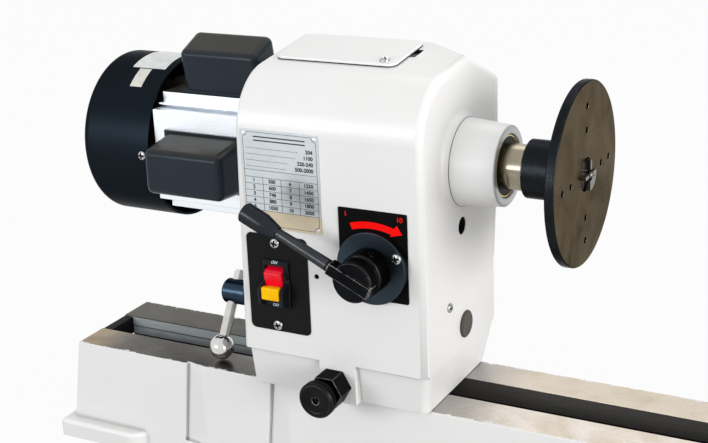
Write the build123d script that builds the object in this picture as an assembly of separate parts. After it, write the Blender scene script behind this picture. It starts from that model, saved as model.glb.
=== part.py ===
from build123d import *
import os
from math import atan2, cos, degrees, hypot, radians, sin, sqrt, tan

# A bench wood lathe with a swivelling variable-speed headstock.
# X runs along the bed, from motor to tailstock; Y runs from the operator to the back; Z is up.
# The origin is on the bench, in the middle of the four bench bolts.

# Fits
RUNNING_FIT = 0.06
SEAT_GAP = 0.02
SLIDE_GAP = 0.3

# Bed
BED_LENGTH = 1100.0
BED_HEIGHT = 95.0
BED_TOP_WIDTH = 110.0
BED_GAP = 36.0
BED_WALL = 9.0
BED_END_WALL = 10.0
BED_SIDE_DRAFT = 3.0
BED_END_DRAFT = 11.0
WAY_THICKNESS = 14.0
WAY_SKIRT_DEPTH = 30.0
WAY_SKIRT_WALL = 8.0
END_BRIDGE_DEPTH = 18.0
CROSS_WEB_HEIGHT = 34.0
CROSS_WEB_WALL = 8.0
CROSS_WEB_COUNT = 5
FLUTE_INSETS = (137.0, 227.0)
FLUTE_WIDTH_TOP = 22.0
FLUTE_WIDTH_LOW = 33.0
FLUTE_DEPTH = 4.0
FOOT_LENGTH = 95.0
FOOT_WIDTH = 142.0
FOOT_THICKNESS = 17.0
FOOT_OVERHANG = 20.0
FOOT_CORNER = 16.0
FOOT_EDGE_ROUND = 4.0
BENCH_HOLE_RADIUS = 4.25
BENCH_HOLE_INSET = 28.0
BENCH_HOLE_SPACING_Y = 80.0

# Spindle line and headstock shell, with X from the swivel axis and Z from the bed top
CENTRE_HEIGHT = 204.0
HEAD_INSET = 288.0
HEAD_LENGTH = 175.0
HEAD_LEFT_REACH = 88.5
HEAD_FRONT = -70.0
HEAD_REAR = 72.0
HEAD_WALL = 8.0
HEAD_FRONT_ROUND = 49.5
HEAD_ROUND_ABOVE_CENTRE = 27.0
HEAD_TOP_SLOPE = 7.4
HEAD_RIDGE_Y = 48.0
HEAD_REAR_FALL = 0.658
HEAD_LEFT_LEAN = 6.0
HEAD_RIGHT_EDGE_ROUND = 7.0
HEAD_LEFT_EDGE_ROUND = 3.0
SHOULDER_START_X = 42.0
SHOULDER_FALL_X = 0.367
SHOULDER_FALL_Y = 0.453
BASE_HEIGHT = 36.0
BASE_INSET = 3.5
BASE_DRAFT = 4.5
FLOOR_THICKNESS = 20.0

# Swivel base and headstock clamp
SWIVEL_RADIUS = 49.0
SWIVEL_HEIGHT = 26.0
TENON_LENGTH = 80.0
TENON_DEPTH = 12.0
CLAMP_PLATE_LENGTH = 90.0
CLAMP_PLATE_WIDTH = 64.0
CLAMP_PLATE_THICKNESS = 12.0
PIVOT_BOLT_RADIUS = 8.0
PIVOT_EYE_HALF = 9.0
PIVOT_EYE_WALL = 5.0
PIVOT_NUT_RADIUS = 13.5
PIVOT_NUT_HEIGHT = 12.0
DETENT_ANGLES = (0.0, -45.0, -90.0, -135.0, -180.0)
INDEX_HEIGHT = 16.4
INDEX_PIN_RADIUS = 4.0
INDEX_STEM_RADIUS = 5.0
INDEX_TRAVEL = 6.0
INDEX_BODY_LENGTH = 19.0
INDEX_BODY_CORNERS = 32.0
INDEX_KNOB_RADIUS = 16.0
INDEX_KNOB_BEVEL = 2.0
INDEX_KNOB_DISH = 1.0
INDEX_SOCKET_RADIUS = 3.2
INDEX_KNOB_LENGTH = 10.0
INDEX_BOSS_LEFT = -15.0
INDEX_BOSS_RIGHT = 20.0
CAM_Y = -6.0
CAM_HEIGHT = 57.0
CAM_SHAFT_RADIUS = 8.0
CAM_THROW = 2.0
CAM_LUG_X = (28.0, 44.0)
CAM_LUG_HALF = 15.0
CAM_HUB_RADIUS = 11.5
CAM_HUB_LENGTH = 25.0
CAM_HUB_END = -147.0
CAM_LEVER_RADIUS = 5.0
CAM_LEVER_LENGTH = 52.5
CAM_LEVER_TAIL = 20.0
CAM_LEVER_LEAN = 32.0
CAM_BALL_RADIUS = 11.5

# Spindle, bearings and faceplate
SPINDLE_RADIUS = 12.5
SPINDLE_BORE_RADIUS = 5.0
BEARING_OUTER_RADIUS = 26.0
BEARING_WIDTH = 15.0
BEARING_RING_WALL = 2.75
BEARING_BALL_COUNT = 9
BOSS_LENGTH = 43.8
BOSS_ROOT_RADIUS = 36.4
BOSS_END_RADIUS = 33.4
BOSS_ROOT_ROUND = 6.5
BOSS_ROOT_STEP = 0.6
REAR_BEARING_INSET = 7.0
REAR_BOSS_RADIUS = 34.0
NOSE_COLLAR_RADIUS = 19.0
NOSE_COLLAR_LENGTH = 18.2
NOSE_COLLAR_FLATS = 34.0
NOSE_THREAD_RADIUS = 16.5
NOSE_THREAD_LENGTH = 36.0
TAPER_RADIUS = 8.89
TAPER_LENGTH = 64.0
TAPER_RATE = 0.02497
FACEPLATE_RADIUS = 74.5
FACEPLATE_HUB_RADIUS = 24.0
FACEPLATE_HUB_LENGTH = 38.5
FACEPLATE_THICKNESS = 8.0
FACEPLATE_MOUTH_RADIUS = 13.5
FACEPLATE_HOLE_RADIUS = 2.75
FACEPLATE_INNER_CIRCLE = 36.0
FACEPLATE_OUTER_CIRCLE = 55.0
SPUR_RADIUS = 12.5
SPUR_PRONG_LENGTH = 6.0
SPUR_POINT_LENGTH = 3.5
SPINDLE_NUT_RADIUS = 19.0
SPINDLE_NUT_LENGTH = 10.0

# Variable-speed belt drive
MOTOR_Y = 100.0
MOTOR_BELOW_CENTRE = 35.5
BELT_X = -20.0
BELT_WIDTH = 21.4
BELT_HEIGHT = 8.0
BELT_ANGLE = 14.0
BELT_GAP = 0.3
BELT_SPINDLE_RADIUS = 59.0
BELT_MOTOR_RADIUS = 23.0
SPINDLE_SHEAVE_RADIUS = 60.0
SPINDLE_SHEAVE_HUB = 20.0
MOTOR_SHEAVE_RADIUS = 44.0
MOTOR_SHEAVE_HUB = 14.0
SHEAVE_RIM = 8.75
SHIFT_TRAVEL = 14.0
FORK_WIDTH = 7.4
FORK_GROOVE_WALL = 3.0
FORK_COLLAR_RADIUS = 26.0
FORK_COLLAR_X = 8.0
GUIDE_ROD_RADIUS = 6.0
GUIDE_ROD_Y = -51.0
GUIDE_ROD_BELOW_CENTRE = 47.0
FORK_HUB_RADIUS = 10.0
FORK_HUB_END = 60.0
SPRING_WIRE = 3.0
SPRING_RADIUS = 17.0
SPRING_TURNS = 3.5
SPRING_LENGTH = 20.0

# Speed lever and dial
LEVER_X = 41.2
LEVER_HEIGHT = 129.4
LEVER_SHAFT_RADIUS = 6.0
LEVER_SWING = 120.0
LEVER_REST_RISE = 25.2
LEVER_ROD_RADIUS = 5.2
LEVER_ROD_TIP_RADIUS = 4.3
LEVER_SHANK_WIDTH = 9.8
LEVER_SHANK_DEPTH = 11.0
LEVER_SHANK_SPAN = (-23.0, 16.5)
LEVER_SHANK_PROUD = 1.5
LEVER_ROD_END = 98.0
LEVER_GRIP_START = 74.5
LEVER_GRIP_LENGTH = 34.5
LEVER_GRIP_CONE = 14.5
LEVER_GRIP_RADIUS = 8.7
LEVER_GRIP_NECK_RADIUS = 5.4
LEVER_GRIP_BEVEL = 1.5
DIAL_FLANGE_RADIUS = 31.0
DIAL_FLANGE_THICKNESS = 5.7
KNOB_BASE_RADIUS = 18.5
KNOB_BASE_LENGTH = 19.0
KNOB_CAP_RADIUS = 17.3
KNOB_GROOVE = 1.4
KNOB_BEVEL = 1.2
SET_SCREW_RADIUS = 2.6
SET_SCREW_LEAN = 22.0
KNOB_CAP_LENGTH = 14.0
CRANK_RADIUS = 13.0
CRANK_THICKNESS = 7.0
CRANK_PIN_RADIUS = 3.0
CRANK_PIN_LENGTH = 8.0
CRANK_SIDE_GAP = 0.8
DIAL_PLATE_SIZE = (61.9, 76.7)
DIAL_PLATE_CENTRE = (41.25, 138.95)

# Switch and rating plate
PLATE_THICKNESS = 0.8
RATING_PLATE_SIZE = (73.4, 84.2)
RATING_PLATE_CENTRE = (-42.0, 192.3)
RIVET_RADIUS = 1.6
RIVET_INSET = 3.5
SWITCH_PLATE_SIZE = (58.8, 86.8)
SWITCH_PLATE_CENTRE = (-50.1, 100.8)
SWITCH_PLATE_CORNER = 5.0
SWITCH_CENTRE = (-51.2, 101.3)
SWITCH_BEZEL_SIZE = (25.5, 42.4)
SWITCH_BEZEL_DEPTH = 4.5
SWITCH_BEZEL_BEVEL = 3.0
SWITCH_BODY_SIZE = (22.4, 38.0)
SWITCH_BODY_DEPTH = 28.0
ROCKER_SIZE = (16.8, 28.6)
ROCKER_ROOM = (18.0, 30.8)
ROCKER_RISE = 2.1
ROCKER_AXLE_RADIUS = 1.5
ROCKER_TOP_TAPER = 5.4
ROCKER_LOW_PROUD = 1.5
ROCKER_MIDDLE_PROUD = 1.2
ROCKER_HIGH_PROUD = 3.7
GUARD_OUTLINE = ((0.5, 4.5), (13.2, -1.8), (13.2, -15.5), (0.5, -20.2))
GUARD_OUTER = 12.2
GUARD_EDGE_ROUND = 1.2
KEY_TAB_SIZE = (13.0, 9.0)
KEY_HEAD_SIZE = (16.8, 11.0)
KEY_HEAD_DEPTH = 5.0
KEY_HEAD_CLEAR = 4.2
KEY_DROP = 5.4

# Covers, plugs and small fasteners
COVER_LENGTH = 112.0
COVER_WIDTH = 60.0
COVER_THICKNESS = 3.0
COVER_LEFT = -74.0
COVER_FRONT_ON_SLOPE = 10.0
COVER_CORNER = 7.0
COVER_SCREW_INSET = 12.0
SCREW_RADIUS = 2.5
SCREW_HEAD_RADIUS = 4.4
SCREW_HEAD_HEIGHT = 2.4
SIDE_PLUG_RADIUS = 12.0
SIDE_PLUG_Y = 8.5
SIDE_PLUG_HEIGHT = 56.0
SIDE_HOLE_RADIUS = 7.5
SIDE_HOLE_Y = 5.0
SIDE_HOLE_HEIGHT = 146.0
SIDE_SCREW_Y = -24.0
SIDE_SCREW_HEIGHT = 83.0
FRONT_HOLE = (-13.1, 112.4)
FRONT_HOLE_RADIUS = 2.0
REAR_SCREW_BOSS = 7.0
REAR_SCREW_DROP = 26.0
REAR_SCREW_MIDDLE = 170.0
GLAND_RADIUS = 9.0

# Rear housing and motor
REAR_LIP_LOW = 96.0
REAR_LIP_DEPTH = 15.0
REAR_LIP_FOOT = 2.0
REAR_LIP_FULL = 215.0
REAR_LIP_WALL = 6.0
REAR_EDGE_ROUND = 5.0
BELT_BOX_DEPTH = 80.0
BELT_BOX_RIGHT = 36.0
BELT_BOX_MARGIN = 66.0
BELT_BOX_WALL = 6.0
MOTOR_FLANGE_X = -87.4
MOTOR_FLANGE_RADIUS = 79.0
MOTOR_FLANGE_THICKNESS = 18.0
MOTOR_FRAME_LENGTH = 134.6
MOTOR_BORE_RADIUS = 54.0
MOTOR_HALF_WIDTH = 53.0
MOTOR_HALF_HEIGHT = 57.0
MOTOR_PAD_REACH = 71.5
MOTOR_PAD_HALF = 44.0
MOTOR_FIN_REACH = 60.5
MOTOR_FIN_Z = (46.0, 48.0)
MOTOR_BELL_RADIUS = 60.0
MOTOR_BELL_LENGTH = 16.0
MOTOR_SHAFT_RADIUS = 10.0
MOTOR_BEARING_RADIUS = 23.5
MOTOR_BEARING_WIDTH = 14.0
MOTOR_BOLT_CIRCLE = 55.5
MOTOR_BOLT_RADIUS = 4.0
MOTOR_BOLT_HEAD_RADIUS = 6.5
MOTOR_BOLT_HEAD_HEIGHT = 8.0
MOTOR_BOLT_KEY_RADIUS = 3.4
STATOR_BORE_RADIUS = 40.6
ROTOR_RADIUS = 40.0
ROTOR_LENGTH = 74.0
FAN_COVER_RADIUS = 79.7
FAN_COVER_LENGTH = 80.0
FAN_COVER_GAP = 3.4
FAN_COVER_WALL = 2.5
FAN_COVER_ROUND = 10.0
FAN_SLOT_COUNT = 16
FAN_SLOT_HALF = 2.5
FAN_SLOT_SPAN = (22.0, 60.0)
FAN_SCREW_INSET = 7.0
TOP_BOX_X = (-217.0, -133.0)
TOP_BOX_OUTLINE = ((-49.0, 0.0), (-10.0, 0.0), (-21.0, 56.0), (-56.5, 40.5))
FRONT_BOX_X = (-225.0, -141.0)
FRONT_BOX_OUTLINE = ((-28.0, 0.0), (24.5, 0.0), (17.0, 42.0), (-25.0, 42.0))
BOX_ROUND = 7.0
BOX_FOOT = 3.0
BOX_FOOT_EDGE = 1.5
FAN_BLADE_COUNT = 8
FAN_RADIUS = 66.0
FAN_WIDTH = 26.0
FAN_BLADE_HALF = 1.5
FAN_HUB_WALL = 8.0

# Tool rest group, with X from its clamp bolt
REST_INSET = 790.0
BANJO_WIDTH = 60.0
BANJO_HEIGHT = 26.0
BANJO_SLOT_WIDTH = 20.0
BANJO_REACH = 25.0
POST_RADIUS = 12.5
POST_DISTANCE = 100.0
POST_BOSS_RADIUS = 24.0
POST_BOSS_HEIGHT = 62.0
POST_FOOT = 18.0
REST_LENGTH = 160.0
REST_BELOW_CENTRE = 4.0
REST_BLADE_HEIGHT = 42.0
REST_BLADE_WALL = 9.0
REST_BLADE_LEAN = 12.0
LOCK_RADIUS = 5.0
LOCK_HEIGHT = 42.0
LOCK_HEAD_RADIUS = 9.0
TOMMY_BAR_RADIUS = 3.5
TOMMY_BAR_HALF = 30.0

# Hand levers with a ball end
HAND_LEVER_RADIUS = 5.0
HAND_LEVER_LENGTH = 84.0
HAND_BALL_RADIUS = 11.0

# Tailstock, with X from the middle of its foot
TAIL_INSET = 1040.0
TAIL_FOOT_LENGTH = 110.0
TAIL_FOOT_WIDTH = 100.0
TAIL_FOOT_HEIGHT = 26.0
TAIL_COLUMN_LENGTH = 84.0
TAIL_COLUMN_WIDTH = 52.0
TAIL_BARREL_RADIUS = 31.0
TAIL_BARREL_LENGTH = 132.0
QUILL_RADIUS = 18.0
QUILL_LENGTH = 126.0
QUILL_REST_OUT = 22.0
LEAD_SCREW_RADIUS = 7.0
HANDWHEEL_RADIUS = 62.0
HANDWHEEL_RIM = 8.0
HANDWHEEL_SPOKES = 3
HANDWHEEL_HUB_RADIUS = 17.0
HANDWHEEL_SPOKE_HALF = 8.0
CENTRE_STEM_RADIUS = 6.0
CENTRE_BODY_RADIUS = 14.0
CENTRE_BODY_LENGTH = 26.0
CENTRE_POINT_RADIUS = 9.0

# Places worked out from the driving dimensions
BED_END = BED_LENGTH / 2
HEAD_X = HEAD_INSET - BED_END
REST_X = REST_INSET - BED_END
TAIL_X = TAIL_INSET - BED_END
HEAD_LEFT = -HEAD_LEFT_REACH
HEAD_RIGHT = HEAD_LEFT + HEAD_LENGTH
ROUND_Z = CENTRE_HEIGHT + HEAD_ROUND_ABOVE_CENTRE
FLOOR_LOW = SWIVEL_HEIGHT + SLIDE_GAP
FLOOR_TOP = FLOOR_LOW + FLOOR_THICKNESS
MOTOR_Z = CENTRE_HEIGHT - MOTOR_BELOW_CENTRE
BOSS_END = HEAD_RIGHT + BOSS_LENGTH
FRONT_BEARING = (BOSS_END - 2.0 - BEARING_WIDTH, BOSS_END - 2.0)
REAR_BEARING = (HEAD_LEFT + REAR_BEARING_INSET, HEAD_LEFT + REAR_BEARING_INSET + BEARING_WIDTH)
NOSE_START = BOSS_END
NOSE_END = NOSE_START + NOSE_COLLAR_LENGTH
FACE_BACK = NOSE_END + FACEPLATE_HUB_LENGTH
FACE_FRONT = FACE_BACK + FACEPLATE_THICKNESS
SPINDLE_END = NOSE_END + NOSE_THREAD_LENGTH
BELT_SLOPE = tan(radians(BELT_ANGLE))
PLATE_FACE = HEAD_FRONT - PLATE_THICKNESS
SKIRT_LOW = -WAY_SKIRT_DEPTH

head_place = Pos(HEAD_X, 0, BED_HEIGHT)
rest_place = Pos(REST_X, 0, BED_HEIGHT)
tail_place = Pos(TAIL_X, 0, BED_HEIGHT)


def block(x, y, z):
    """A box that fills three spans."""
    centre = [(low + high) / 2 for low, high in (x, y, z)]
    sides = [high - low for low, high in (x, y, z)]
    return Pos(*centre) * Box(*sides)


def bar_x(radius, span, y=0.0, z=0.0):
    """A round bar along X."""
    return Pos((span[0] + span[1]) / 2, y, z) * Rot(0, 90, 0) * Cylinder(radius, span[1] - span[0])


def bar_y(radius, span, x=0.0, z=0.0):
    """A round bar along Y."""
    return Pos(x, (span[0] + span[1]) / 2, z) * Rot(90, 0, 0) * Cylinder(radius, span[1] - span[0])


def bar_z(radius, span, x=0.0, y=0.0):
    """A round bar along Z."""
    return Pos(x, y, (span[0] + span[1]) / 2) * Cylinder(radius, span[1] - span[0])


def tube_x(outer, inner, span, y=0.0, z=0.0):
    """A round tube along X."""
    return bar_x(outer, span, y, z) - bar_x(inner, span, y, z)


def closed_face(*curves):
    """A flat face inside curves that meet end to end."""
    return make_face([edge for curve in curves for edge in curve.edges()])


def polygon(*points):
    """A flat face inside straight sides."""
    return closed_face(Polyline(*points, close=True))


def turned_x(*points, y=0.0, z=0.0):
    """A shape turned about X from an outline of (x, radius) points."""
    return Pos(0, y, z) * revolve(polygon(*points), Axis.X)


def turned_y(*points, x=0.0, z=0.0):
    """A shape turned about Y from an outline of (y, radius) points."""
    return Pos(x, 0, z) * revolve(polygon(*[(radius, along) for along, radius in points]), Axis.Y)


def turned_z(*points, x=0.0, y=0.0):
    """A shape turned about Z from an outline of (z, radius) points."""
    outline = Plane.XZ * polygon(*[(radius, along) for along, radius in points])
    return Pos(x, y, 0) * revolve(outline, Axis.Z)


def swept_along_x(face, span):
    """A side outline of (y, z) points drawn out along X."""
    return extrude(Plane.YZ.offset(span[0]) * face, amount=span[1] - span[0])


def swept_along_y(face, span):
    """A front outline of (x, z) points drawn out along Y."""
    return extrude(Plane.XZ.offset(-span[1]) * face, amount=span[1] - span[0])


def front_plate(size, centre, corner, y_span):
    """A plate with round corners, flat on the headstock's front."""
    outline = Pos(*centre) * RectangleRounded(size[0], size[1], corner)
    return swept_along_y(outline, y_span)


def edges_near(shape, test):
    """The edges whose middle point passes a test."""
    return [edge for edge in shape.edges() if test(edge @ 0.5)]


def write_node(name, *pieces):
    """Write one sub-part, with every piece a solid of its own."""
    solids = [solid for piece in pieces for solid in piece.solids()]
    export_step(solids[0] if len(solids) == 1 else Compound(solids), f"parts/{name}.step")


def pan_head(x, y, z, direction, length):
    """A pan-head screw at a seat point, with its head pointing along a direction."""
    seat = Plane(origin=(x, y, z), z_dir=direction)
    head = turned_z((0, 0), (0, SCREW_HEAD_RADIUS), (SCREW_HEAD_HEIGHT * 0.5, SCREW_HEAD_RADIUS),
                    (SCREW_HEAD_HEIGHT, SCREW_HEAD_RADIUS * 0.6), (SCREW_HEAD_HEIGHT, 0))
    cross = Box(SCREW_HEAD_RADIUS, 0.9, 1.6) + Box(0.9, SCREW_HEAD_RADIUS, 1.6)
    screw = head + bar_z(SCREW_RADIUS, (-length, 0)) - Pos(0, 0, SCREW_HEAD_HEIGHT) * cross
    return seat.location * screw


def screw_hole(x, y, z, direction, length):
    """The hole that a pan-head screw sits in."""
    seat = Plane(origin=(x, y, z), z_dir=direction)
    return seat.location * bar_z(SCREW_RADIUS + SEAT_GAP, (-length - 1.0, 1.0))


# Bed casting: two ground ways on drafted side walls, tied by cross webs and standing on two feet
def bed_side(z):
    """Half width of the bed's outer faces at a height."""
    return BED_TOP_WIDTH / 2 + BED_SIDE_DRAFT * (BED_HEIGHT - z) / (BED_HEIGHT - FOOT_THICKNESS)


def bed_flute(x, side):
    """The shallow upright flute cast into a side face, deepest at its left edge."""
    rings = []
    for z, width in ((FOOT_THICKNESS - 1.0, FLUTE_WIDTH_LOW), (BED_HEIGHT + 1.0, FLUTE_WIDTH_TOP)):
        face = side * bed_side(z)
        left = x - width * 0.6
        right = x + width * 0.4
        corners = ((left, face + side), (left, face - side * FLUTE_DEPTH), (right, face + side))
        rings.append(Pos(0, 0, z) * polygon(*corners))
    return loft(rings, ruled=True)


def bed_foot():
    """The foot under the right end, with its inner corners well rounded."""
    plan = Rectangle(FOOT_LENGTH, FOOT_WIDTH)
    plan = fillet(plan.vertices().sort_by(Axis.X)[:2], FOOT_CORNER)
    plan = fillet(plan.vertices().sort_by(Axis.X)[-2:], FOOT_EDGE_ROUND)
    foot = extrude(plan, FOOT_THICKNESS)
    foot = fillet(edges_near(foot, lambda p: p.Z > FOOT_THICKNESS - 0.01), FOOT_EDGE_ROUND)
    foot = Pos(BED_END + FOOT_OVERHANG - FOOT_LENGTH / 2, 0, 0) * foot
    for side in (-1, 1):
        y = side * BENCH_HOLE_SPACING_Y / 2
        foot -= bar_z(BENCH_HOLE_RADIUS, (-1, FOOT_THICKNESS + 1), BED_END - BENCH_HOLE_INSET, y)
    return foot


def make_bed():
    draft_share = BED_HEIGHT / (BED_HEIGHT - FOOT_THICKNESS)
    low_plan = Rectangle(BED_LENGTH + 2 * BED_END_DRAFT * draft_share, 2 * bed_side(0))
    bed = loft([low_plan, Pos(0, 0, BED_HEIGHT) * Rectangle(BED_LENGTH, BED_TOP_WIDTH)], ruled=True)
    inside = BED_TOP_WIDTH / 2 - BED_WALL
    inner_end = BED_END - BED_END_WALL
    way_low = BED_HEIGHT - WAY_THICKNESS
    gap = BED_GAP / 2
    bed -= block((-inner_end, inner_end), (-inside, inside), (-1, way_low))
    bed -= block((-inner_end, inner_end), (-gap, gap), (way_low - 1, BED_HEIGHT + 1))
    for index in range(CROSS_WEB_COUNT):
        x = inner_end * (2 * (index + 1) / (CROSS_WEB_COUNT + 1) - 1)
        web_x = (x - CROSS_WEB_WALL / 2, x + CROSS_WEB_WALL / 2)
        bed += block(web_x, (-inside - 1, inside + 1), (0, CROSS_WEB_HEIGHT))
    for side in (-1, 1):
        skirt_y = sorted((side * gap, side * (gap + WAY_SKIRT_WALL)))
        bed += block((-inner_end - 1, inner_end + 1), skirt_y, (BED_HEIGHT - WAY_SKIRT_DEPTH, way_low + 1))
        end_x = sorted((side * (inner_end - 1), side * (BED_END + FOOT_OVERHANG)))
        bed -= block(end_x, (-inside + 8, inside - 8), (CROSS_WEB_HEIGHT, BED_HEIGHT - END_BRIDGE_DEPTH))
        bed -= block(end_x, (-gap, gap), (BED_HEIGHT - 1, BED_HEIGHT + 1))
        for inset in FLUTE_INSETS:
            bed -= bed_flute(inset - BED_END, side)
            bed -= bed_flute(BED_END - inset, side)
    return bed + bed_foot() + Rot(0, 0, 180) * bed_foot()


# Swivel base: a round plate that slides on the ways and carries the headstock
TENON_HALF = BED_GAP / 2 - SLIDE_GAP
CLAMP_TOP = SKIRT_LOW - SLIDE_GAP
CLAMP_LOW = CLAMP_TOP - CLAMP_PLATE_THICKNESS


def make_swivel_base():
    base = bar_z(SWIVEL_RADIUS, (0, SWIVEL_HEIGHT))
    base += block((-TENON_LENGTH / 2, TENON_LENGTH / 2), (-TENON_HALF, TENON_HALF), (-TENON_DEPTH, 1))
    base -= bar_z(PIVOT_BOLT_RADIUS + RUNNING_FIT, (-TENON_DEPTH - 1, SWIVEL_HEIGHT + 1))
    detent_y = (-SWIVEL_RADIUS - 1, -SWIVEL_RADIUS + 2 * INDEX_TRAVEL)
    for angle in DETENT_ANGLES:
        base -= Rot(0, 0, angle) * bar_y(INDEX_PIN_RADIUS + SLIDE_GAP, detent_y, 0, INDEX_HEIGHT)
    return base


def make_clamp_plate():
    half_length = CLAMP_PLATE_LENGTH / 2
    half_width = CLAMP_PLATE_WIDTH / 2
    plate = block((-half_length, half_length), (-half_width, half_width), (CLAMP_LOW, CLAMP_TOP))
    return plate - bar_z(PIVOT_BOLT_RADIUS + SLIDE_GAP, (CLAMP_LOW - 1, CLAMP_TOP + 1))


def make_pivot_bolt():
    """The bolt that the headstock turns on, with an eye for the clamp cam at its top."""
    eye_hole = CAM_SHAFT_RADIUS + CAM_THROW + SLIDE_GAP
    eye_low = FLOOR_TOP + SLIDE_GAP
    eye_x = (-PIVOT_EYE_HALF, PIVOT_EYE_HALF)
    eye_y = (CAM_Y - eye_hole - PIVOT_EYE_WALL, PIVOT_EYE_HALF + 1)
    eye = block(eye_x, eye_y, (eye_low, CAM_HEIGHT + eye_hole + PIVOT_EYE_WALL))
    eye -= bar_x(eye_hole, eye_x, CAM_Y, CAM_HEIGHT)
    nut_top = CLAMP_LOW - SEAT_GAP
    hexagon = RegularPolygon(PIVOT_NUT_RADIUS, 6)
    nut = Pos(0, 0, nut_top - PIVOT_NUT_HEIGHT) * extrude(hexagon, PIVOT_NUT_HEIGHT)
    return eye + bar_z(PIVOT_BOLT_RADIUS, (nut_top - 1, eye_low + 1)) + nut


# Headstock casting: a hollow shell with a leaning top, open at the back, on a drafted base
TOP_ANGLE = radians(HEAD_TOP_SLOPE)
ROUND_Y = HEAD_FRONT + HEAD_FRONT_ROUND
SHOULDER_Y = ROUND_Y - HEAD_FRONT_ROUND * sin(TOP_ANGLE)
SHOULDER_Z = ROUND_Z + HEAD_FRONT_ROUND * cos(TOP_ANGLE)
RIDGE_Z = SHOULDER_Z + (HEAD_RIDGE_Y - SHOULDER_Y) * tan(TOP_ANGLE)
REAR_Z = RIDGE_Z - (HEAD_REAR - HEAD_RIDGE_Y) * HEAD_REAR_FALL
top_plane = Plane(origin=(0, SHOULDER_Y, SHOULDER_Z), x_dir=(1, 0, 0),
                  z_dir=(0, -sin(TOP_ANGLE), cos(TOP_ANGLE)))
INNER_LEFT = HEAD_LEFT + HEAD_LEFT_LEAN + HEAD_WALL
INNER_RIGHT = HEAD_RIGHT - HEAD_WALL
GUIDE_ROD_Z = CENTRE_HEIGHT - GUIDE_ROD_BELOW_CENTRE
REAR_RIM_LOW = REAR_LIP_LOW + HEAD_WALL
REAR_SCREW_HIGH = REAR_Z - REAR_SCREW_DROP
REAR_SCREWS = [(HEAD_LEFT + 13, REAR_SCREW_HIGH), (HEAD_RIGHT - 9, REAR_SCREW_HIGH),
               (HEAD_RIGHT - 9, REAR_SCREW_MIDDLE), (HEAD_RIGHT - 9, REAR_LIP_LOW + 7)]
COVER_SCREWS = [(COVER_LEFT + COVER_LENGTH - COVER_SCREW_INSET, COVER_FRONT_ON_SLOPE + 8)]
SWITCH_SCREWS = [(-51.4, 137.2), (-52.4, 63.1)]
DIAL_SCREW = (64.9, 141.4)


def head_outline(inset, low, rear):
    """Side outline of the shell, moved in by the wall for its hollow."""
    radius = HEAD_FRONT_ROUND - inset
    front = HEAD_FRONT + inset
    middle_turn = (radians(180) + radians(90) + TOP_ANGLE) / 2
    middle = (ROUND_Y + radius * cos(middle_turn), ROUND_Z + radius * sin(middle_turn))
    shoulder = (ROUND_Y - radius * sin(TOP_ANGLE), ROUND_Z + radius * cos(TOP_ANGLE))
    ridge = (HEAD_RIDGE_Y, shoulder[1] + (HEAD_RIDGE_Y - shoulder[0]) * tan(TOP_ANGLE))
    back = (rear, ridge[1] - (rear - HEAD_RIDGE_Y) * HEAD_REAR_FALL)
    return closed_face(ThreePointArc((front, ROUND_Z), middle, shoulder),
                       Polyline(shoulder, ridge, back, (rear, low), (front, low), (front, ROUND_Z)))


def above_shoulder(drop):
    """The space over the sloping rear right shoulder."""
    slope = Plane(origin=(SHOULDER_START_X, HEAD_RIDGE_Y, RIDGE_Z - drop),
                  z_dir=(SHOULDER_FALL_X, SHOULDER_FALL_Y, 1))
    return slope.location * Pos(0, 0, 150) * Box(900, 900, 300)


def left_of_lean():
    """The space left of the leaning end face."""
    top = RIDGE_Z + 10
    face = polygon((HEAD_LEFT, BASE_HEIGHT), (HEAD_LEFT + HEAD_LEFT_LEAN, top), (HEAD_LEFT - 10, top),
                   (HEAD_LEFT - 10, BASE_HEIGHT))
    return swept_along_y(face, (HEAD_FRONT - 50, HEAD_REAR + 50))


def make_head_shell():
    shell = swept_along_x(head_outline(0, BASE_HEIGHT, HEAD_REAR), (HEAD_LEFT, HEAD_RIGHT))
    shell = shell - above_shoulder(0) - left_of_lean()
    right_edges = edges_near(shell, lambda p: p.X > HEAD_RIGHT - 0.01 and p.Y < HEAD_REAR - 0.1
                             and p.Z > BASE_HEIGHT + 0.1)
    shell = fillet(right_edges, HEAD_RIGHT_EDGE_ROUND)
    left_edges = edges_near(shell, lambda p: p.X < HEAD_LEFT + HEAD_LEFT_LEAN + 0.1 and p.Y < HEAD_REAR - 0.1
                            and p.Z > BASE_HEIGHT + 0.1)
    return fillet(left_edges, HEAD_LEFT_EDGE_ROUND)


def make_head_base():
    """The drafted foot of the headstock, a little inside the shell above it."""
    low = SLIDE_GAP
    top_face = block((HEAD_LEFT + BASE_INSET, HEAD_RIGHT),
                     (HEAD_FRONT + BASE_INSET, HEAD_REAR - BASE_INSET), (0, 1))
    low_face = block((HEAD_LEFT + BASE_INSET + 1, HEAD_RIGHT - BASE_DRAFT),
                     (HEAD_FRONT + BASE_INSET + BASE_DRAFT, HEAD_REAR - BASE_INSET - 3 * BASE_DRAFT), (0, 1))
    rings = []
    for z, shape in ((low, low_face), (BASE_HEIGHT, top_face)):
        rings.append(Pos(0, 0, z) * shape.faces().sort_by(Axis.Z)[0])
    return loft(rings, ruled=True)


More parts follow.
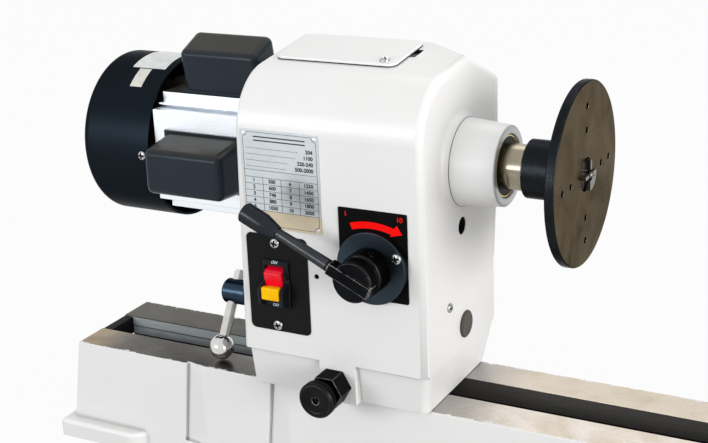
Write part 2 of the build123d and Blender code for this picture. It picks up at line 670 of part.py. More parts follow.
def make_spindle_boss():
    """The spindle's front boss: a cast round at its root, then the turned taper, a small step lower."""
    lip = BOSS_ROOT_RADIUS + BOSS_ROOT_STEP
    root = lip + BOSS_ROOT_ROUND
    bend = BOSS_ROOT_ROUND * sqrt(0.5)
    tip = (HEAD_RIGHT + BOSS_ROOT_ROUND, lip)
    step_x = tip[0] + BOSS_ROOT_STEP
    middle = (tip[0] - bend, root - bend)
    face = closed_face(ThreePointArc((HEAD_RIGHT, root), middle, tip),
                       Polyline(tip, (step_x, lip), (step_x, BOSS_ROOT_RADIUS),
                                (BOSS_END - 1.0, BOSS_END_RADIUS), (BOSS_END, BOSS_END_RADIUS - 1.0),
                                (BOSS_END, 0), (INNER_RIGHT, 0), (INNER_RIGHT, root), (HEAD_RIGHT, root)))
    return Pos(0, 0, CENTRE_HEIGHT) * revolve(face, Axis.X)


def make_head_casting():
    casting = make_head_shell()
    hollow = swept_along_x(head_outline(HEAD_WALL, FLOOR_TOP, HEAD_REAR + 1), (INNER_LEFT, INNER_RIGHT))
    hollow -= above_shoulder(1.3 * HEAD_WALL)
    rear_wall_y = (HEAD_REAR - HEAD_WALL, HEAD_REAR + 2)
    hollow -= block((INNER_LEFT - 1, INNER_RIGHT + 1), rear_wall_y, (FLOOR_TOP - 1, REAR_RIM_LOW))
    casting -= hollow
    casting += make_head_base()
    boss_y = (HEAD_FRONT, -SWIVEL_RADIUS)
    casting += block((INDEX_BOSS_LEFT, INDEX_BOSS_RIGHT), boss_y, (SLIDE_GAP, BASE_HEIGHT + 1))
    casting += make_spindle_boss()
    casting += bar_x(REAR_BOSS_RADIUS, (INNER_LEFT - 1, REAR_BEARING[1] + 2), 0, CENTRE_HEIGHT)
    lug_y = (CAM_Y - CAM_LUG_HALF, CAM_Y + CAM_LUG_HALF)
    casting += block(CAM_LUG_X, lug_y, (FLOOR_TOP - 1, CAM_HEIGHT + CAM_LUG_HALF))
    for x, z in REAR_SCREWS:
        casting += bar_y(REAR_SCREW_BOSS, (HEAD_REAR - 18, HEAD_REAR), x, z)
        casting -= screw_hole(x, HEAD_REAR, z, (0, 1, 0), 12)
    casting -= bar_z(SWIVEL_RADIUS + SLIDE_GAP, (-1, FLOOR_LOW))
    casting -= bar_z(PIVOT_BOLT_RADIUS + RUNNING_FIT, (FLOOR_LOW - 1, FLOOR_TOP + 1))
    casting -= bar_x(BEARING_OUTER_RADIUS - 3, (INNER_RIGHT - 1, FRONT_BEARING[0] + 1), 0, CENTRE_HEIGHT)
    casting -= bar_x(BEARING_OUTER_RADIUS + SEAT_GAP, (FRONT_BEARING[0], BOSS_END + 1), 0, CENTRE_HEIGHT)
    casting -= bar_x(BEARING_OUTER_RADIUS + SEAT_GAP, (REAR_BEARING[0], REAR_BEARING[1] + 3), 0, CENTRE_HEIGHT)
    casting -= bar_x(SPINDLE_RADIUS + 4, (HEAD_LEFT - 1, REAR_BEARING[0] + 1), 0, CENTRE_HEIGHT)
    casting -= bar_y(LEVER_SHAFT_RADIUS + RUNNING_FIT, (HEAD_FRONT - 1, HEAD_FRONT + HEAD_WALL + 1), LEVER_X,
                     LEVER_HEIGHT)
    casting -= bar_x(CAM_SHAFT_RADIUS + RUNNING_FIT, (HEAD_LEFT - 1, INNER_LEFT + 1), CAM_Y, CAM_HEIGHT)
    casting -= bar_x(CAM_SHAFT_RADIUS + RUNNING_FIT, (CAM_LUG_X[0] - 1, CAM_LUG_X[1] + 1), CAM_Y, CAM_HEIGHT)
    casting -= bar_y(INDEX_STEM_RADIUS + RUNNING_FIT, (HEAD_FRONT - 1, INDEX_STEM_END + INDEX_TRAVEL + 1), 0,
                     INDEX_HEIGHT)
    casting -= bar_y(INDEX_PIN_RADIUS + RUNNING_FIT, (HEAD_FRONT, 0), 0, INDEX_HEIGHT)
    casting -= bar_x(GUIDE_ROD_RADIUS + SEAT_GAP, (INNER_LEFT - 4, INNER_RIGHT + 4), GUIDE_ROD_Y, GUIDE_ROD_Z)
    casting -= bar_x(SIDE_HOLE_RADIUS, (INNER_RIGHT - 1, HEAD_RIGHT + 1), SIDE_HOLE_Y, SIDE_HOLE_HEIGHT)
    casting -= bar_x(SIDE_PLUG_RADIUS - 2, (INNER_RIGHT - 1, HEAD_RIGHT + 1), SIDE_PLUG_Y, SIDE_PLUG_HEIGHT)
    casting -= bar_x(GLAND_RADIUS - 2, (HEAD_LEFT - 1, INNER_LEFT + 1), GLAND_Y, GLAND_HEIGHT)
    casting -= screw_hole(HEAD_RIGHT, SIDE_SCREW_Y, SIDE_SCREW_HEIGHT, (1, 0, 0), 7)
    casting -= bar_y(FRONT_HOLE_RADIUS, (HEAD_FRONT - 1, HEAD_FRONT + HEAD_WALL + 1), *FRONT_HOLE)
    casting -= switch_block(SWITCH_BODY_SIZE, SLIDE_GAP, (HEAD_FRONT - 1, HEAD_FRONT + HEAD_WALL + 1))
    for x, z in (*SWITCH_SCREWS, DIAL_SCREW):
        casting -= screw_hole(x, HEAD_FRONT, z, (0, -1, 0), 7)
    opening = block((COVER_LEFT + 14, COVER_LEFT + COVER_LENGTH - 26),
                    (COVER_FRONT_ON_SLOPE + 6, COVER_FRONT_ON_SLOPE + COVER_WIDTH - 14), (-HEAD_WALL - 4, 1))
    finger_x = (COVER_LEFT + COVER_LENGTH - 8, COVER_LEFT + COVER_LENGTH + 5)
    notch = block(finger_x, (COVER_FRONT_ON_SLOPE + 28, COVER_FRONT_ON_SLOPE + 46), (-4, 1))
    casting -= top_plane.location * (opening + notch)
    for x, along in COVER_SCREWS:
        casting -= top_plane.location * screw_hole(x, along, 0, (0, 0, 1), 7)
    return casting


def make_top_cover():
    centre = Pos(COVER_LEFT + COVER_LENGTH / 2, COVER_FRONT_ON_SLOPE + COVER_WIDTH / 2, SEAT_GAP)
    plate = centre * extrude(RectangleRounded(COVER_LENGTH, COVER_WIDTH, COVER_CORNER), COVER_THICKNESS)
    for x, along in COVER_SCREWS:
        plate -= screw_hole(x, along, COVER_THICKNESS, (0, 0, 1), COVER_THICKNESS + 1)
    return top_plane.location * plate


# Rear housing: the cover that closes the back, with a box round the motor pulley
BELT_BOX_LEFT = MOTOR_FLANGE_X + 0.2
BELT_BOX_REAR = HEAD_REAR + BELT_BOX_DEPTH
MOTOR_BOLT_TURNS = (46.0, -46.0, 111.0, -111.0)
MOTOR_BOLTS = [(MOTOR_Y + MOTOR_BOLT_CIRCLE * cos(radians(turn)),
                MOTOR_Z + MOTOR_BOLT_CIRCLE * sin(radians(turn))) for turn in MOTOR_BOLT_TURNS]


def make_rear_housing():
    rear = HEAD_REAR + REAR_LIP_DEPTH
    face = HEAD_REAR + SEAT_GAP
    rear_top = REAR_Z - REAR_LIP_DEPTH * HEAD_REAR_FALL
    lip = polygon((face, REAR_LIP_LOW), (face + REAR_LIP_FOOT, REAR_LIP_LOW), (rear, REAR_LIP_FULL),
                  (rear, rear_top), (face, REAR_Z))
    housing = swept_along_x(lip, (HEAD_LEFT, HEAD_RIGHT)) - above_shoulder(0) - left_of_lean()
    shoulder = edges_near(housing, lambda p: p.X > HEAD_RIGHT - 0.01 and p.Z > REAR_LIP_FULL + 0.1
                          and face + 0.1 < p.Y < rear - 0.1)
    housing = fillet(shoulder, HEAD_RIGHT_EDGE_ROUND)
    back_edges = edges_near(housing, lambda p: p.Y > rear - 0.1 and p.Z > REAR_LIP_FULL + 0.1)
    housing = fillet(back_edges, REAR_EDGE_ROUND)
    inner_rear = rear - REAR_LIP_WALL
    inner = polygon((face - 1, REAR_LIP_FULL - 60), (inner_rear, REAR_LIP_FULL + 4),
                    (inner_rear, rear_top - REAR_LIP_WALL), (face - 1, REAR_Z - HEAD_WALL))
    box_z = (MOTOR_Z - BELT_BOX_MARGIN, MOTOR_Z + BELT_BOX_MARGIN)
    outer_box = block((BELT_BOX_LEFT, BELT_BOX_RIGHT), (face, BELT_BOX_REAR), box_z)
    outer_box = fillet(edges_near(outer_box, lambda p: p.Y > BELT_BOX_REAR - 0.1), 2 * REAR_EDGE_ROUND)
    housing += outer_box
    housing -= swept_along_x(inner, (INNER_LEFT, INNER_RIGHT)) - above_shoulder(1.3 * HEAD_WALL)
    room_x = (BELT_BOX_LEFT + BELT_BOX_WALL, BELT_BOX_RIGHT - BELT_BOX_WALL)
    room_z = (box_z[0] + BELT_BOX_WALL, box_z[1] - BELT_BOX_WALL)
    housing -= block(room_x, (face - 1, BELT_BOX_REAR - BELT_BOX_WALL), room_z)
    wall_x = (BELT_BOX_LEFT - 1, BELT_BOX_LEFT + BELT_BOX_WALL + 1)
    housing -= bar_x(MOTOR_BEARING_RADIUS + 8, wall_x, MOTOR_Y, MOTOR_Z)
    for y, z in MOTOR_BOLTS:
        housing -= bar_x(MOTOR_BOLT_RADIUS + SEAT_GAP, wall_x, y, z)
    for x, z in REAR_SCREWS:
        housing -= bar_y(SCREW_RADIUS + SEAT_GAP, (HEAD_REAR - 1, rear + 1), x, z)
        housing -= bar_y(SCREW_HEAD_RADIUS + 1, (rear_screw_seat(z), rear + 1), x, z)
    return housing


def rear_screw_seat(z):
    """How far back the head of a rear housing screw sits."""
    rise = min(max((z - 5 - REAR_LIP_LOW) / (REAR_LIP_FULL - REAR_LIP_LOW), 0), 1)
    return HEAD_REAR + REAR_LIP_FOOT + rise * (REAR_LIP_DEPTH - REAR_LIP_FOOT) - 0.6


# Index plunger: a hex guide in the base with a spring pin and a round knob
INDEX_BODY_END = HEAD_FRONT - INDEX_BODY_LENGTH
INDEX_KNOB_BACK = INDEX_BODY_END - INDEX_TRAVEL - SLIDE_GAP
INDEX_STEM_END = HEAD_FRONT + 4.0
INDEX_TIP = -SWIVEL_RADIUS - SLIDE_GAP - 0.9


def make_plunger_body():
    hexagon = Pos(0, INDEX_HEIGHT) * RegularPolygon(INDEX_BODY_CORNERS / 2, 6)
    body = swept_along_y(hexagon, (INDEX_BODY_END, HEAD_FRONT - SEAT_GAP))
    return body - bar_y(INDEX_STEM_RADIUS + RUNNING_FIT, (INDEX_BODY_END - 1, HEAD_FRONT + 1), 0, INDEX_HEIGHT)


def make_index_pin():
    front = INDEX_KNOB_BACK - INDEX_KNOB_LENGTH
    rim = INDEX_KNOB_RADIUS - INDEX_KNOB_BEVEL
    pin = turned_y((front + INDEX_KNOB_DISH, 0), (front + INDEX_KNOB_DISH, rim - 2 * INDEX_KNOB_BEVEL),
                   (front, rim - INDEX_KNOB_BEVEL), (front, rim), (front + INDEX_KNOB_BEVEL, INDEX_KNOB_RADIUS),
                   (INDEX_KNOB_BACK - INDEX_KNOB_BEVEL, INDEX_KNOB_RADIUS), (INDEX_KNOB_BACK, rim),
                   (INDEX_KNOB_BACK, INDEX_STEM_RADIUS), (INDEX_STEM_END, INDEX_STEM_RADIUS),
                   (INDEX_STEM_END, INDEX_PIN_RADIUS), (INDEX_TIP - 1, INDEX_PIN_RADIUS),
                   (INDEX_TIP, INDEX_PIN_RADIUS - 1), (INDEX_TIP, 0), z=INDEX_HEIGHT)
    return pin - bar_y(INDEX_SOCKET_RADIUS, (front - 1, front + INDEX_KNOB_LENGTH / 2), 0, INDEX_HEIGHT)


# Headstock clamp: an eccentric shaft across the base, turned by a ball lever outside the left end
def make_cam_shaft():
    shaft = bar_x(CAM_SHAFT_RADIUS, (CAM_HUB_END, 46), CAM_Y, CAM_HEIGHT)
    shaft += bar_x(CAM_SHAFT_RADIUS, (-8, 8), CAM_Y, CAM_HEIGHT + CAM_THROW)
    hub_x = (CAM_HUB_END, CAM_HUB_END + CAM_HUB_LENGTH)
    hub = turned_x((hub_x[0], 0), (hub_x[0], CAM_HUB_RADIUS - 2), (hub_x[0] + 2, CAM_HUB_RADIUS),
                   (hub_x[1], CAM_HUB_RADIUS), (hub_x[1], 0), y=CAM_Y, z=CAM_HEIGHT)
    return shaft + hub - cam_lever_place() * bar_z(CAM_LEVER_RADIUS + SEAT_GAP, (-40, 40))


def cam_lever_place():
    """The middle of the clamp hub, with Z along the lever bar."""
    return Pos(CAM_HUB_END + 9, CAM_Y, CAM_HEIGHT) * Rot(-CAM_LEVER_LEAN, 0, 0)


def make_clamp_lever():
    bar = bar_z(CAM_LEVER_RADIUS, (-CAM_LEVER_LENGTH, CAM_LEVER_TAIL - 2))
    bar += bar_z(CAM_LEVER_RADIUS - 1, (CAM_LEVER_TAIL - 3, CAM_LEVER_TAIL))
    return cam_lever_place() * (bar + Pos(0, 0, -CAM_LEVER_LENGTH) * Sphere(CAM_BALL_RADIUS))


# Spindle group
INNER_RING_RADIUS = SPINDLE_RADIUS + BEARING_RING_WALL
OUTER_RING_BORE = BEARING_OUTER_RADIUS - BEARING_RING_WALL
BALL_CIRCLE = (INNER_RING_RADIUS + OUTER_RING_BORE) / 2
BALL_RADIUS = (OUTER_RING_BORE - INNER_RING_RADIUS) / 2 - RUNNING_FIT


def taper_cut(mouth, depth, direction, grow):
    """A Morse taper along X from its wide mouth, larger or smaller by a gap."""
    end = mouth + direction * depth
    small = TAPER_RADIUS - depth * TAPER_RATE
    return turned_x((mouth, 0), (mouth, TAPER_RADIUS + grow), (end, small + grow), (end, 0))


def make_spindle():
    nut_end = HEAD_LEFT - SPINDLE_NUT_LENGTH - 3
    body = turned_x((nut_end, 0), (nut_end, SPINDLE_RADIUS - 1), (REAR_BEARING[0], SPINDLE_RADIUS - 1),
                    (REAR_BEARING[0], SPINDLE_RADIUS), (REAR_BEARING[1] + SEAT_GAP, SPINDLE_RADIUS),
                    (REAR_BEARING[1] + SEAT_GAP, SPINDLE_RADIUS + 2), (REAR_BEARING[1] + 4, SPINDLE_RADIUS + 2),
                    (REAR_BEARING[1] + 4, SPINDLE_RADIUS), (NOSE_START + 0.3, SPINDLE_RADIUS),
                    (NOSE_START + 0.3, NOSE_COLLAR_RADIUS), (NOSE_END, NOSE_COLLAR_RADIUS),
                    (NOSE_END, NOSE_THREAD_RADIUS), (SPINDLE_END, NOSE_THREAD_RADIUS), (SPINDLE_END, 0))
    body -= bar_x(SPINDLE_BORE_RADIUS, (nut_end - 1, SPINDLE_END + 1))
    body -= taper_cut(SPINDLE_END, TAPER_LENGTH, -1, 0)
    for side in (-1, 1):
        flat = block((NOSE_START + 5, NOSE_END - 4), (-30, 30), (NOSE_COLLAR_FLATS / 2, 30))
        body -= Rot(25 + 90 * side, 0, 0) * flat
    return Pos(0, 0, CENTRE_HEIGHT) * body


def spindle_sheave(face_x, side, back):
    """One cone of the spindle pulley, with its cone facing right for side 1 and left for side -1."""
    rim = face_x - side * (SPINDLE_SHEAVE_RADIUS - BELT_SPINDLE_RADIUS) * BELT_SLOPE
    hub = face_x + side * (BELT_SPINDLE_RADIUS - SPINDLE_SHEAVE_HUB) * BELT_SLOPE
    bore = SPINDLE_RADIUS + RUNNING_FIT
    return turned_x((back, bore), (back, SPINDLE_SHEAVE_HUB), (rim - side * SHEAVE_RIM, SPINDLE_SHEAVE_HUB),
                    (rim - side * SHEAVE_RIM, SPINDLE_SHEAVE_RADIUS), (rim, SPINDLE_SHEAVE_RADIUS),
                    (hub, SPINDLE_SHEAVE_HUB), (hub, bore), z=CENTRE_HEIGHT)


FORK_GROOVE_START = FORK_COLLAR_X + FORK_GROOVE_WALL
FORK_GROOVE_X = (FORK_GROOVE_START, FORK_GROOVE_START + FORK_WIDTH + 2 * SLIDE_GAP)
FORK_COLLAR_END = FORK_GROOVE_X[1] + FORK_GROOVE_WALL


def make_spindle_moving_sheave():
    sheave = spindle_sheave(BELT_X + BELT_WIDTH / 2 + BELT_GAP, -1, FORK_COLLAR_END)
    for x in ((FORK_COLLAR_X, FORK_GROOVE_X[0]), (FORK_GROOVE_X[1], FORK_COLLAR_END)):
        sheave += tube_x(FORK_COLLAR_RADIUS, SPINDLE_SHEAVE_HUB - 1, x, 0, CENTRE_HEIGHT)
    return sheave


def make_shift_fork():
    """The fork that slides the moving cone, driven by the crank pin in its slot."""
    fork_x = (FORK_GROOVE_X[0] + SLIDE_GAP, FORK_GROOVE_X[1] - SLIDE_GAP)
    reach = hypot(GUIDE_ROD_Y, GUIDE_ROD_BELOW_CENTRE)
    turn = degrees(atan2(-GUIDE_ROD_BELOW_CENTRE, GUIDE_ROD_Y))
    inner = SPINDLE_SHEAVE_HUB + SLIDE_GAP
    plan = Circle(FORK_COLLAR_RADIUS + 8) + Pos(reach / 2, 0) * Rectangle(reach, 2 * FORK_HUB_RADIUS)
    plan = plan - Circle(inner) - Pos(-50, 0) * Rectangle(100, 2 * inner)
    fork = swept_along_x(Pos(0, CENTRE_HEIGHT) * Rot(0, 0, turn) * plan, fork_x)
    fork += bar_x(FORK_HUB_RADIUS, (fork_x[0], FORK_HUB_END), GUIDE_ROD_Y, GUIDE_ROD_Z)
    pin_x = LEVER_X - SHIFT_TRAVEL / 2
    slot_half = CRANK_PIN_RADIUS + CRANK_SIDE_GAP
    plate_x = (pin_x - slot_half - 6, pin_x + slot_half + 6)
    plate_y = (CRANK_FACE + 2, CRANK_FACE + CRANK_PIN_LENGTH)
    fork += block(plate_x, plate_y, (LEVER_HEIGHT - 5, GUIDE_ROD_Z))
    pin_reach = CRANK_THROW + CRANK_PIN_RADIUS
    slot_z = (LEVER_HEIGHT - 6, LEVER_HEIGHT + pin_reach + 1)
    fork -= block((pin_x - slot_half, pin_x + slot_half), plate_y, slot_z)
    return fork - bar_x(GUIDE_ROD_RADIUS + RUNNING_FIT, (0, FORK_HUB_END + 1), GUIDE_ROD_Y, GUIDE_ROD_Z)


def make_faceplate():
    hub_end = NOSE_END + SEAT_GAP
    thread = NOSE_THREAD_RADIUS + SEAT_GAP
    plate = turned_x((hub_end, thread), (hub_end, FACEPLATE_HUB_RADIUS), (FACE_BACK, FACEPLATE_HUB_RADIUS),
                     (FACE_BACK, FACEPLATE_RADIUS - 1), (FACE_BACK + 1, FACEPLATE_RADIUS),
                     (FACE_FRONT - 1, FACEPLATE_RADIUS), (FACE_FRONT, FACEPLATE_RADIUS - 1),
                     (FACE_FRONT, FACEPLATE_MOUTH_RADIUS), (SPINDLE_END + SEAT_GAP, FACEPLATE_MOUTH_RADIUS),
                     (SPINDLE_END + SEAT_GAP, thread))
    for turn in range(0, 360, 90):
        for circle in (FACEPLATE_INNER_CIRCLE, FACEPLATE_OUTER_CIRCLE):
            plate -= Rot(turn, 0, 0) * bar_x(FACEPLATE_HOLE_RADIUS, (FACE_BACK - 1, FACE_FRONT + 1), 0, circle)
    return Pos(0, 0, CENTRE_HEIGHT) * plate


def make_drive_spur():
    """A drive centre with four prongs and a point, on a Morse taper shank."""
    collar = SPINDLE_END + 2
    prong_root = FACE_FRONT - 2
    shank = TAPER_RADIUS - SEAT_GAP
    shank_length = TAPER_LENGTH - 8
    shank_end = SPINDLE_END - shank_length
    spur = turned_x((shank_end, 0), (shank_end, shank - shank_length * TAPER_RATE), (SPINDLE_END, shank),
                    (collar, shank), (collar, SPUR_RADIUS), (prong_root, SPUR_RADIUS), (prong_root, 0))
    spur += bar_x(SPUR_RADIUS, (prong_root - 1, prong_root + SPUR_PRONG_LENGTH))
    for turn in range(0, 360, 90):
        wedge = block((prong_root, prong_root + SPUR_PRONG_LENGTH + 1), (1.6, 20), (1.6, 20))
        spur -= Rot(turn, 0, 0) * wedge
    spur -= bar_x(SPUR_RADIUS * 0.36, (prong_root, prong_root + SPUR_PRONG_LENGTH + 1))
    tip = prong_root + SPUR_PRONG_LENGTH + SPUR_POINT_LENGTH
    spur += turned_x((prong_root - 1, 0), (prong_root - 1, 2.6), (tip - 4, 2.6), (tip, 0))
    return Pos(0, 0, CENTRE_HEIGHT) * spur


def make_spindle_nut():
    nut_x = (HEAD_LEFT - SPINDLE_NUT_LENGTH - 1, HEAD_LEFT - 1)
    nut = swept_along_x(Pos(0, CENTRE_HEIGHT) * RegularPolygon(SPINDLE_NUT_RADIUS, 6), nut_x)
    sleeve = bar_x(SPINDLE_RADIUS + 3, (nut_x[1] - 1, REAR_BEARING[0] - SEAT_GAP), 0, CENTRE_HEIGHT)
    bore_x = (nut_x[0] - 1, REAR_BEARING[0] + 1)
    return nut + sleeve - bar_x(SPINDLE_RADIUS - 1 + SEAT_GAP, bore_x, 0, CENTRE_HEIGHT)


def bearing_balls(span):
    """A ring of balls between the two rings of one spindle bearing."""
    middle = (span[0] + span[1]) / 2
    ball = Pos(middle, 0, BALL_CIRCLE) * Sphere(BALL_RADIUS)
    return [Pos(0, 0, CENTRE_HEIGHT) * Rot(index * 360 / BEARING_BALL_COUNT, 0, 0) * ball
            for index in range(BEARING_BALL_COUNT)]


# Motor pulley, belt and spring
def motor_sheave(face_x, side, back, hub_radius):
    """One cone of the motor pulley, with its cone facing right for side 1 and left for side -1."""
    rim = face_x - side * (MOTOR_SHEAVE_RADIUS - BELT_MOTOR_RADIUS) * BELT_SLOPE
    hub = face_x + side * (BELT_MOTOR_RADIUS - MOTOR_SHEAVE_HUB) * BELT_SLOPE
    bore = MOTOR_SHAFT_RADIUS + RUNNING_FIT
    return turned_x((back, bore), (back, hub_radius), (rim - side * SHEAVE_RIM, hub_radius),
                    (rim - side * SHEAVE_RIM, MOTOR_SHEAVE_RADIUS), (rim, MOTOR_SHEAVE_RADIUS),
                    (hub, MOTOR_SHEAVE_HUB), (hub, bore), y=MOTOR_Y, z=MOTOR_Z)


MOTOR_FIXED_FACE = BELT_X + BELT_WIDTH / 2 + BELT_GAP
MOTOR_MOVING_FACE = BELT_X - BELT_WIDTH / 2 - BELT_GAP
MOTOR_MOVING_RIM = MOTOR_MOVING_FACE - (MOTOR_SHEAVE_RADIUS - BELT_MOTOR_RADIUS) * BELT_SLOPE
MOTOR_MOVING_BACK = MOTOR_MOVING_RIM - SHEAVE_RIM


def make_drive_belt():
    """A wide V belt round both pulleys, at the lowest speed."""
    spindle = (0.0, CENTRE_HEIGHT)
    motor = (MOTOR_Y, MOTOR_Z)
    distance = hypot(motor[0] - spindle[0], motor[1] - spindle[1])
    line = atan2(motor[1] - spindle[1], motor[0] - spindle[0])
    wrap = atan2(sqrt(distance ** 2 - (BELT_SPINDLE_RADIUS - BELT_MOTOR_RADIUS) ** 2),
                 BELT_SPINDLE_RADIUS - BELT_MOTOR_RADIUS)

    def on_pulley(centre, radius, turn):
        return (centre[0] + radius * cos(turn), centre[1] + radius * sin(turn))

    upper = [on_pulley(spindle, BELT_SPINDLE_RADIUS, line + wrap),
             on_pulley(motor, BELT_MOTOR_RADIUS, line + wrap)]
    lower = [on_pulley(spindle, BELT_SPINDLE_RADIUS, line - wrap),
             on_pulley(motor, BELT_MOTOR_RADIUS, line - wrap)]
    loop = (Line(upper[0], upper[1]),
            ThreePointArc(upper[1], on_pulley(motor, BELT_MOTOR_RADIUS, line), lower[1]),
            Line(lower[1], lower[0]),
            ThreePointArc(lower[0], on_pulley(spindle, -BELT_SPINDLE_RADIUS, line), upper[0]))
    path = Plane.YZ.offset(BELT_X).location * Wire([edge for curve in loop for edge in curve.edges()])
    start = Plane(origin=path @ 0, x_dir=(1, 0, 0), z_dir=path % 0)
    top_half = BELT_WIDTH / 2
    low_half = top_half - BELT_HEIGHT * BELT_SLOPE
    section = polygon((-top_half, 0), (top_half, 0), (low_half, BELT_HEIGHT), (-low_half, BELT_HEIGHT))
    return sweep(start * section, path=path)


def make_sheave_spring():
    """The coil spring that closes the motor pulley."""
    end = MOTOR_MOVING_BACK - SPRING_WIRE / 2 - SLIDE_GAP
    coil = Helix(pitch=SPRING_LENGTH / SPRING_TURNS, height=SPRING_LENGTH, radius=SPRING_RADIUS)
    wire = sweep(Plane(origin=coil @ 0, z_dir=coil % 0) * Circle(SPRING_WIRE / 2), path=coil)
    gap = SPRING_LENGTH / SPRING_TURNS - SPRING_WIRE
    print(f"sheave spring: {gap:.2f} mm between turns")
    return Pos(end - SPRING_LENGTH, MOTOR_Y, MOTOR_Z) * Rot(0, 90, 0) * wire


# Speed control: a knob on a cranked shaft, with a lever rod and a grip
CRANK_THROW = SHIFT_TRAVEL / 2 / sin(radians(LEVER_SWING / 2))
CRANK_FACE = HEAD_FRONT + HEAD_WALL + 2 + CRANK_THICKNESS
FLANGE_FACE = PLATE_FACE - DIAL_FLANGE_THICKNESS
KNOB_BACK = FLANGE_FACE - SLIDE_GAP
KNOB_STEP = KNOB_BACK - KNOB_BASE_LENGTH
KNOB_FRONT = KNOB_STEP - KNOB_CAP_LENGTH
LEVER_Y = KNOB_FRONT - LEVER_SHANK_PROUD + LEVER_SHANK_DEPTH / 2
lever_place = Pos(LEVER_X, LEVER_Y, LEVER_HEIGHT) * Rot(0, LEVER_REST_RISE, 0)


def make_speed_knob():
    neck = KNOB_CAP_RADIUS - KNOB_GROOVE
    knob = turned_y((KNOB_FRONT, 0), (KNOB_FRONT, KNOB_CAP_RADIUS - KNOB_BEVEL),
                    (KNOB_FRONT + KNOB_BEVEL, KNOB_CAP_RADIUS), (KNOB_STEP - KNOB_GROOVE, KNOB_CAP_RADIUS),
                    (KNOB_STEP - KNOB_GROOVE, neck), (KNOB_STEP, neck),
                    (KNOB_STEP, KNOB_BASE_RADIUS - KNOB_BEVEL), (KNOB_STEP + KNOB_BEVEL, KNOB_BASE_RADIUS),
                    (KNOB_BACK, KNOB_BASE_RADIUS), (KNOB_BACK, LEVER_SHAFT_RADIUS),
                    (CRANK_FACE, LEVER_SHAFT_RADIUS), (CRANK_FACE, 0), x=LEVER_X, z=LEVER_HEIGHT)
    knob += bar_y(CRANK_RADIUS, (CRANK_FACE - CRANK_THICKNESS, CRANK_FACE), LEVER_X, LEVER_HEIGHT)
    pin_z = LEVER_HEIGHT + CRANK_THROW * cos(radians(LEVER_SWING / 2))
    pin_y = (CRANK_FACE - 1, CRANK_FACE + CRANK_PIN_LENGTH)
    knob += bar_y(CRANK_PIN_RADIUS, pin_y, LEVER_X - SHIFT_TRAVEL / 2, pin_z)
    set_screw = bar_z(SET_SCREW_RADIUS, (KNOB_BASE_RADIUS / 2, KNOB_BASE_RADIUS + 1))
    set_screw_place = Pos(LEVER_X, (KNOB_STEP + KNOB_BACK) / 2, LEVER_HEIGHT) * Rot(0, SET_SCREW_LEAN, 0)
    return knob - set_screw_place * set_screw - lever_shank(SEAT_GAP)


def lever_shank(grow):
    """The square end of the lever, in its slot across the knob's face."""
    half_depth = LEVER_SHANK_DEPTH / 2 + grow
    half_width = LEVER_SHANK_WIDTH / 2 + grow
    span = (LEVER_SHANK_SPAN[0] - grow, LEVER_SHANK_SPAN[1] + grow)
    return lever_place * block(span, (-half_depth, half_depth), (-half_width, half_width))


def lever_rod(grow):
    """The tapered round part of the lever."""
    root = LEVER_SHANK_SPAN[0] + 1
    end = -LEVER_ROD_END - grow
    tip = LEVER_ROD_TIP_RADIUS + grow
    return turned_x((root, 0), (root, LEVER_ROD_RADIUS + grow), (-LEVER_GRIP_START, tip), (end, tip), (end, 0))


def make_lever_rod():
    return lever_place * lever_rod(0) + lever_shank(0)


def make_lever_grip():
    """The grip: a cylinder that narrows in a cone towards the rod."""
    start = -LEVER_GRIP_START
    cone_end = start - LEVER_GRIP_CONE
    end = start - LEVER_GRIP_LENGTH
    rim = LEVER_GRIP_RADIUS - LEVER_GRIP_BEVEL
    grip = turned_x((start, 0), (start, LEVER_GRIP_NECK_RADIUS), (cone_end, LEVER_GRIP_RADIUS),
                    (end + LEVER_GRIP_BEVEL, LEVER_GRIP_RADIUS), (end, rim), (end, 0))
    return lever_place * (grip - lever_rod(SEAT_GAP))


def make_dial_flange():
    flange = bar_y(DIAL_FLANGE_RADIUS, (FLANGE_FACE, PLATE_FACE - SEAT_GAP), LEVER_X, LEVER_HEIGHT)
    flange -= bar_y(LEVER_SHAFT_RADIUS + RUNNING_FIT, (FLANGE_FACE - 1, PLATE_FACE + 1), LEVER_X, LEVER_HEIGHT)
    return flange - screw_hole(DIAL_SCREW[0], FLANGE_FACE, DIAL_SCREW[1], (0, -1, 0), DIAL_FLANGE_THICKNESS)


def make_dial_plate():
    plate = front_plate(DIAL_PLATE_SIZE, DIAL_PLATE_CENTRE, 1.5, (PLATE_FACE, HEAD_FRONT - SEAT_GAP))
    plate -= bar_y(LEVER_SHAFT_RADIUS + RUNNING_FIT, (PLATE_FACE - 1, HEAD_FRONT + 1), LEVER_X, LEVER_HEIGHT)
    return plate - screw_hole(DIAL_SCREW[0], PLATE_FACE, DIAL_SCREW[1], (0, -1, 0), 2)


# Switch: a plate, a bezel with its body, a rocker and a pull-out key
def switch_block(size, grow, y_span):
    """A box centred on the switch."""
    half_x = size[0] / 2 + grow
    half_z = size[1] / 2 + grow
    x, z = SWITCH_CENTRE
    return block((x - half_x, x + half_x), y_span, (z - half_z, z + half_z))


def make_switch_plate():
    plate_y = (PLATE_FACE, HEAD_FRONT - SEAT_GAP)
    plate = front_plate(SWITCH_PLATE_SIZE, SWITCH_PLATE_CENTRE, SWITCH_PLATE_CORNER, plate_y)
    plate -= switch_block(SWITCH_BODY_SIZE, SLIDE_GAP, (PLATE_FACE - 1, HEAD_FRONT + 1))
    for x, z in SWITCH_SCREWS:
        plate -= screw_hole(x, PLATE_FACE, z, (0, -1, 0), 2)
    return plate


BEZEL_FACE = PLATE_FACE - SWITCH_BEZEL_DEPTH
ROCKER_PIVOT_Y = PLATE_FACE + 1.0
ROCKER_PIVOT_Z = SWITCH_CENTRE[1] + ROCKER_RISE


